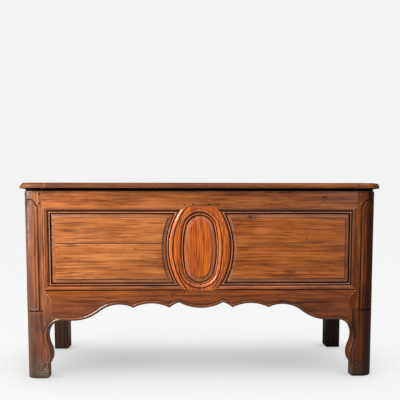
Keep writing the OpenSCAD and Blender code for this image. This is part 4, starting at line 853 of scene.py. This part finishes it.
panelSettings = {
    "bevelWidth": 19, "fieldIn": 4.5, "fieldStep": 4, "upperBoard": 124, "hidden": 8, "back": 21.4,
    "jointDeep": {-1: 4, 1: 1.2},       # the right joint has stayed tighter
}
panelMarks = {                          # x and z, half length, half height, turn, strength
    # the first mark of each left board is a tall band of painted shade on the bevel beside the muntin
    "leftUpper": [(-135, 538, 36, 190, 0, 0.15), (-540, 612, 45, 9, 4, 0.45), (-470, 604, 60, 5, -3, 0.3)],
    "leftLower": [(-135, 538, 36, 190, 0, 0.15), (-267, 537, 9, 3, 10, 0.7), (-230, 500, 26, 2, 0, 0.5),
                  (-420, 455, 80, 7, 1, 0.3)],
    "rightUpper": [(205, 667, 9, 6, 0, 0.9), (212, 667, 34, 13, -8, 0.4), (160, 640, 26, 2, -35, 0.6),
                   (436, 578, 13, 1.8, 66, 0.9), (330, 618, 90, 4, 1, 0.25)],
    "rightLower": [(372, 442, 34, 10, 0, 0.6), (350, 424, 80, 9, 0, 0.5), (455, 440, 9, 4, 20, 0.6),
                   (250, 470, 60, 4, 2, 0.3), (420, 500, 50, 3, -2, 0.3)],
}


def frontPanel(name, side, upper, seed, s):
    joint = chest["openTop"] - s["upperBoard"]
    wide = s["bevelWidth"]
    way, edge = (1, chest["openTop"]) if upper else (-1, chest["openBottom"])
    z = np.unique(np.concatenate([
        steps((joint, joint + 2 * way, 0.5), (joint + 2 * way, edge - (wide + 2) * way, 5)),
        steps((edge - (wide + 2) * way, edge - (wide - 2) * way, 0.5),
              (edge - (wide - 2) * way, edge - 4 * way, 4), (edge - 4 * way, edge - 2 * way, 0.5)),
        [edge + s["hidden"] * way]]))
    centre = side * muntinSettings["centreX"]
    near = steps((-s["hidden"], 2, 3), (2, 4, 0.5), (4, wide - 2, 2.4), (wide - 2, wide + 2, 0.45),
                 (wide + 2, 40, 4))
    last = chest["postIn"]
    far = steps((300, last - wide - 2, 7), (last - wide - 2, last - wide + 2, 0.5),
                (last - wide + 2, last - 4, 4), (last - 4, last - 2, 0.5), (last - 2, last + s["hidden"], 4))
    rows = []
    for height in z:
        left = curvePlace(height, -near) + centre
        between = left[-1] + (far[0] - left[-1]) * np.linspace(0, 1, 18)[1:-1]
        rows.append(np.concatenate([left, between, far]))
    gridX = np.stack(rows)
    gridZ = np.repeat(z[:, None], gridX.shape[1], axis=1)
    curve = muntinSettings["sideRadius"]
    fromCurve = np.hypot(gridX - centre + curve - muntinSettings["halfWidth"], gridZ - midZ) - curve
    gap = np.minimum(np.minimum(last - gridX, fromCurve), (edge - gridZ) * way)
    depth = fieldDepth(gap, wide, s)
    depth = depth + handMade(gridX, gridZ, seed, 85, 0.7) + handMade(gridX, gridZ * 2, seed + 5, 22, 0.15)
    onField = np.interp(gap, [wide - 3, wide + 1], [0.35, 1])
    groove = np.interp(np.abs(gridZ - joint), [0, 0.9, 1.5, 2.4], [1, 0.85, 0.12, 0])
    depth = depth + s["jointDeep"][side] * onField * groove
    return reliefPiece(name, side * gridX, gridZ, depth, s["back"])


for side, word in ((-1, "left"), (1, "right")):
    for upper, part in ((True, "upper"), (False, "lower")):
        seed = 4.1 + 3 * side + 1.3 * upper
        node = "front_panel_" + word + "_" + part
        piece = frontPanel(node + "_fielded", side, upper, seed, panelSettings)
        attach(piece, "carcass")
        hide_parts(node)
        piece.data.materials.append(waxedOak("waxedOakPanel" + word.title() + part.title(), dict(
            boardTones[word + "Panel"], grain="frontAlong", offset=(seed, 0.06 + 0.03 * upper, 0.2 * upper),
            dullDepth=5.2, dull=0.5 if side > 0 else 0.2, dullColour="#a07a66",
            marks=panelMarks[word + part.title()])))
print("front panels fielded")


# plain pieces: worn copies of the built nodes

plainPieces = {                         # node: slot, tone, grain
    "rear_post_left": ("oak_back", "backPost", "frontUp"),
    "rear_post_right": ("oak_back", "backPost", "frontUp"),
    "side_top_rail_left": ("oak_side", "plain", "sideAlong"),
    "side_top_rail_right": ("oak_side", "plain", "sideAlong"),
    "side_bottom_rail_left": ("oak_side", "plain", "sideAlong"),
    "side_bottom_rail_right": ("oak_side", "plain", "sideAlong"),
    "side_panel_left": ("oak_side", "plain", "sideAlong"),
    "side_panel_right": ("oak_side", "plain", "sideAlong"),
    "back_top_rail": ("oak_back", "raw", "frontAlong"),
    "back_bottom_rail": ("oak_back", "raw", "frontAlong"),
    "back_muntin": ("oak_back", "raw", "frontUp"),
    "back_panel_left": ("oak_back", "raw", "frontAlong"),
    "back_panel_right": ("oak_back", "raw", "frontAlong"),
    "floor_board_front": ("oak_inside", "raw", "topAlong"),
    "floor_board_middle": ("oak_inside", "raw", "topAlong"),
    "floor_board_back": ("oak_inside", "raw", "topAlong"),
    "floor_ledger_front": ("oak_inside", "raw", "frontAlong"),
    "floor_ledger_back": ("oak_inside", "raw", "frontAlong"),
    "floor_ledger_left": ("oak_inside", "raw", "sideAlong"),
    "floor_ledger_right": ("oak_inside", "raw", "sideAlong"),
    "floor_bearer": ("oak_inside", "raw", "topAcross"),
    "lid_board_front": ("oak_lid", "lid", "topAlong"),
    "lid_board_middle": ("oak_lid", "lid", "topAlong"),
    "lid_board_back": ("oak_lid", "lid", "topAlong"),
    "lid_cleat_left": ("oak_cleat", "lid", "topAcross"),
    "lid_cleat_right": ("oak_cleat", "lid", "topAcross"),
}


def wornCopy(name, width):
    # the node's mesh with its loose triangles joined up again and its corners rubbed round
    piece = bpy.data.objects.new(name + "_worn", cad[name].data.copy())
    bpy.context.scene.collection.objects.link(piece)
    piece.data.materials.clear()
    activate(piece)
    bpy.ops.object.mode_set(mode="EDIT")
    bpy.ops.mesh.select_all(action="SELECT")
    bpy.ops.mesh.remove_doubles(threshold=0.00002)
    bpy.ops.mesh.dissolve_limited(angle_limit=math.radians(0.6))
    bpy.ops.object.mode_set(mode="OBJECT")
    rounding = piece.modifiers.new("rubbedCorners", "BEVEL")
    rounding.width = width
    rounding.segments = 2
    rounding.limit_method = "ANGLE"
    rounding.angle_limit = math.radians(40)
    bpy.ops.object.modifier_apply(modifier=rounding.name)
    bpy.ops.object.shade_smooth_by_angle(angle=math.radians(35))
    # broad faces keep their own normals, so that they look flat up to the rubbed corners
    weighting = piece.modifiers.new("flatFaces", "WEIGHTED_NORMAL")
    weighting.keep_sharp = True
    weighting.weight = 100
    bpy.ops.object.modifier_apply(modifier=weighting.name)
    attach(piece, cad[name]["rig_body"])
    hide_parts(name)
    return piece


cleatTaper = {"run": 16, "lowest": chest["top"] + 4}
rubbedWidth = 0.0006


def taperEnd(piece, s):
    # the left end of the lid has worn from a round edge to a wedge
    left = min(vertex.co.x for vertex in piece.data.vertices)
    for vertex in piece.data.vertices:
        share = (vertex.co.x - left) * 1000 / s["run"]
        if 0 < share < 1 and vertex.co.z * 1000 > s["lowest"]:
            lowered = share ** 0.9 / math.sqrt(share * (2 - share))
            vertex.co.z = s["lowest"] / 1000 + (vertex.co.z - s["lowest"] / 1000) * lowered


for number, (name, (slotName, tone, grain)) in enumerate(plainPieces.items()):
    piece = wornCopy(name, rubbedWidth)
    if name == "lid_cleat_left":
        taperEnd(piece, cleatTaper)
    settings = dict(boardTones[tone], grain=grain,
                    offset=(0.37 * number, 0.045 + 0.013 * (number % 5), 0.031 * (number % 7) - 0.09))
    oakName = ("planedOak" if tone == "raw" else "waxedOak") + name.replace("_", " ").title().replace(" ", "")
    piece.data.materials.append(waxedOak(oakName, settings))
print("boards made")

pegOak = waxedOak("cleftOakPegs", dict(boardTones["peg"], grain="frontAlong", offset=(0.2, 0.1, 0.3)))
iron = forgedIron("forgedIron")
postPegs = waxedOak("cleftOakPostPegs", dict(boardTones["post"], grain="frontAlong", offset=(0.5, 0.2, 0.1),
                                             wear=0))
for name, node in cad.items():
    if node.hide_render:
        continue
    finish = postPegs if name == "front_frame_pegs" else pegOak if "pegs" in name else iron
    node.data.materials.clear()
    node.data.materials.append(finish)
print("pegs and irons finished")
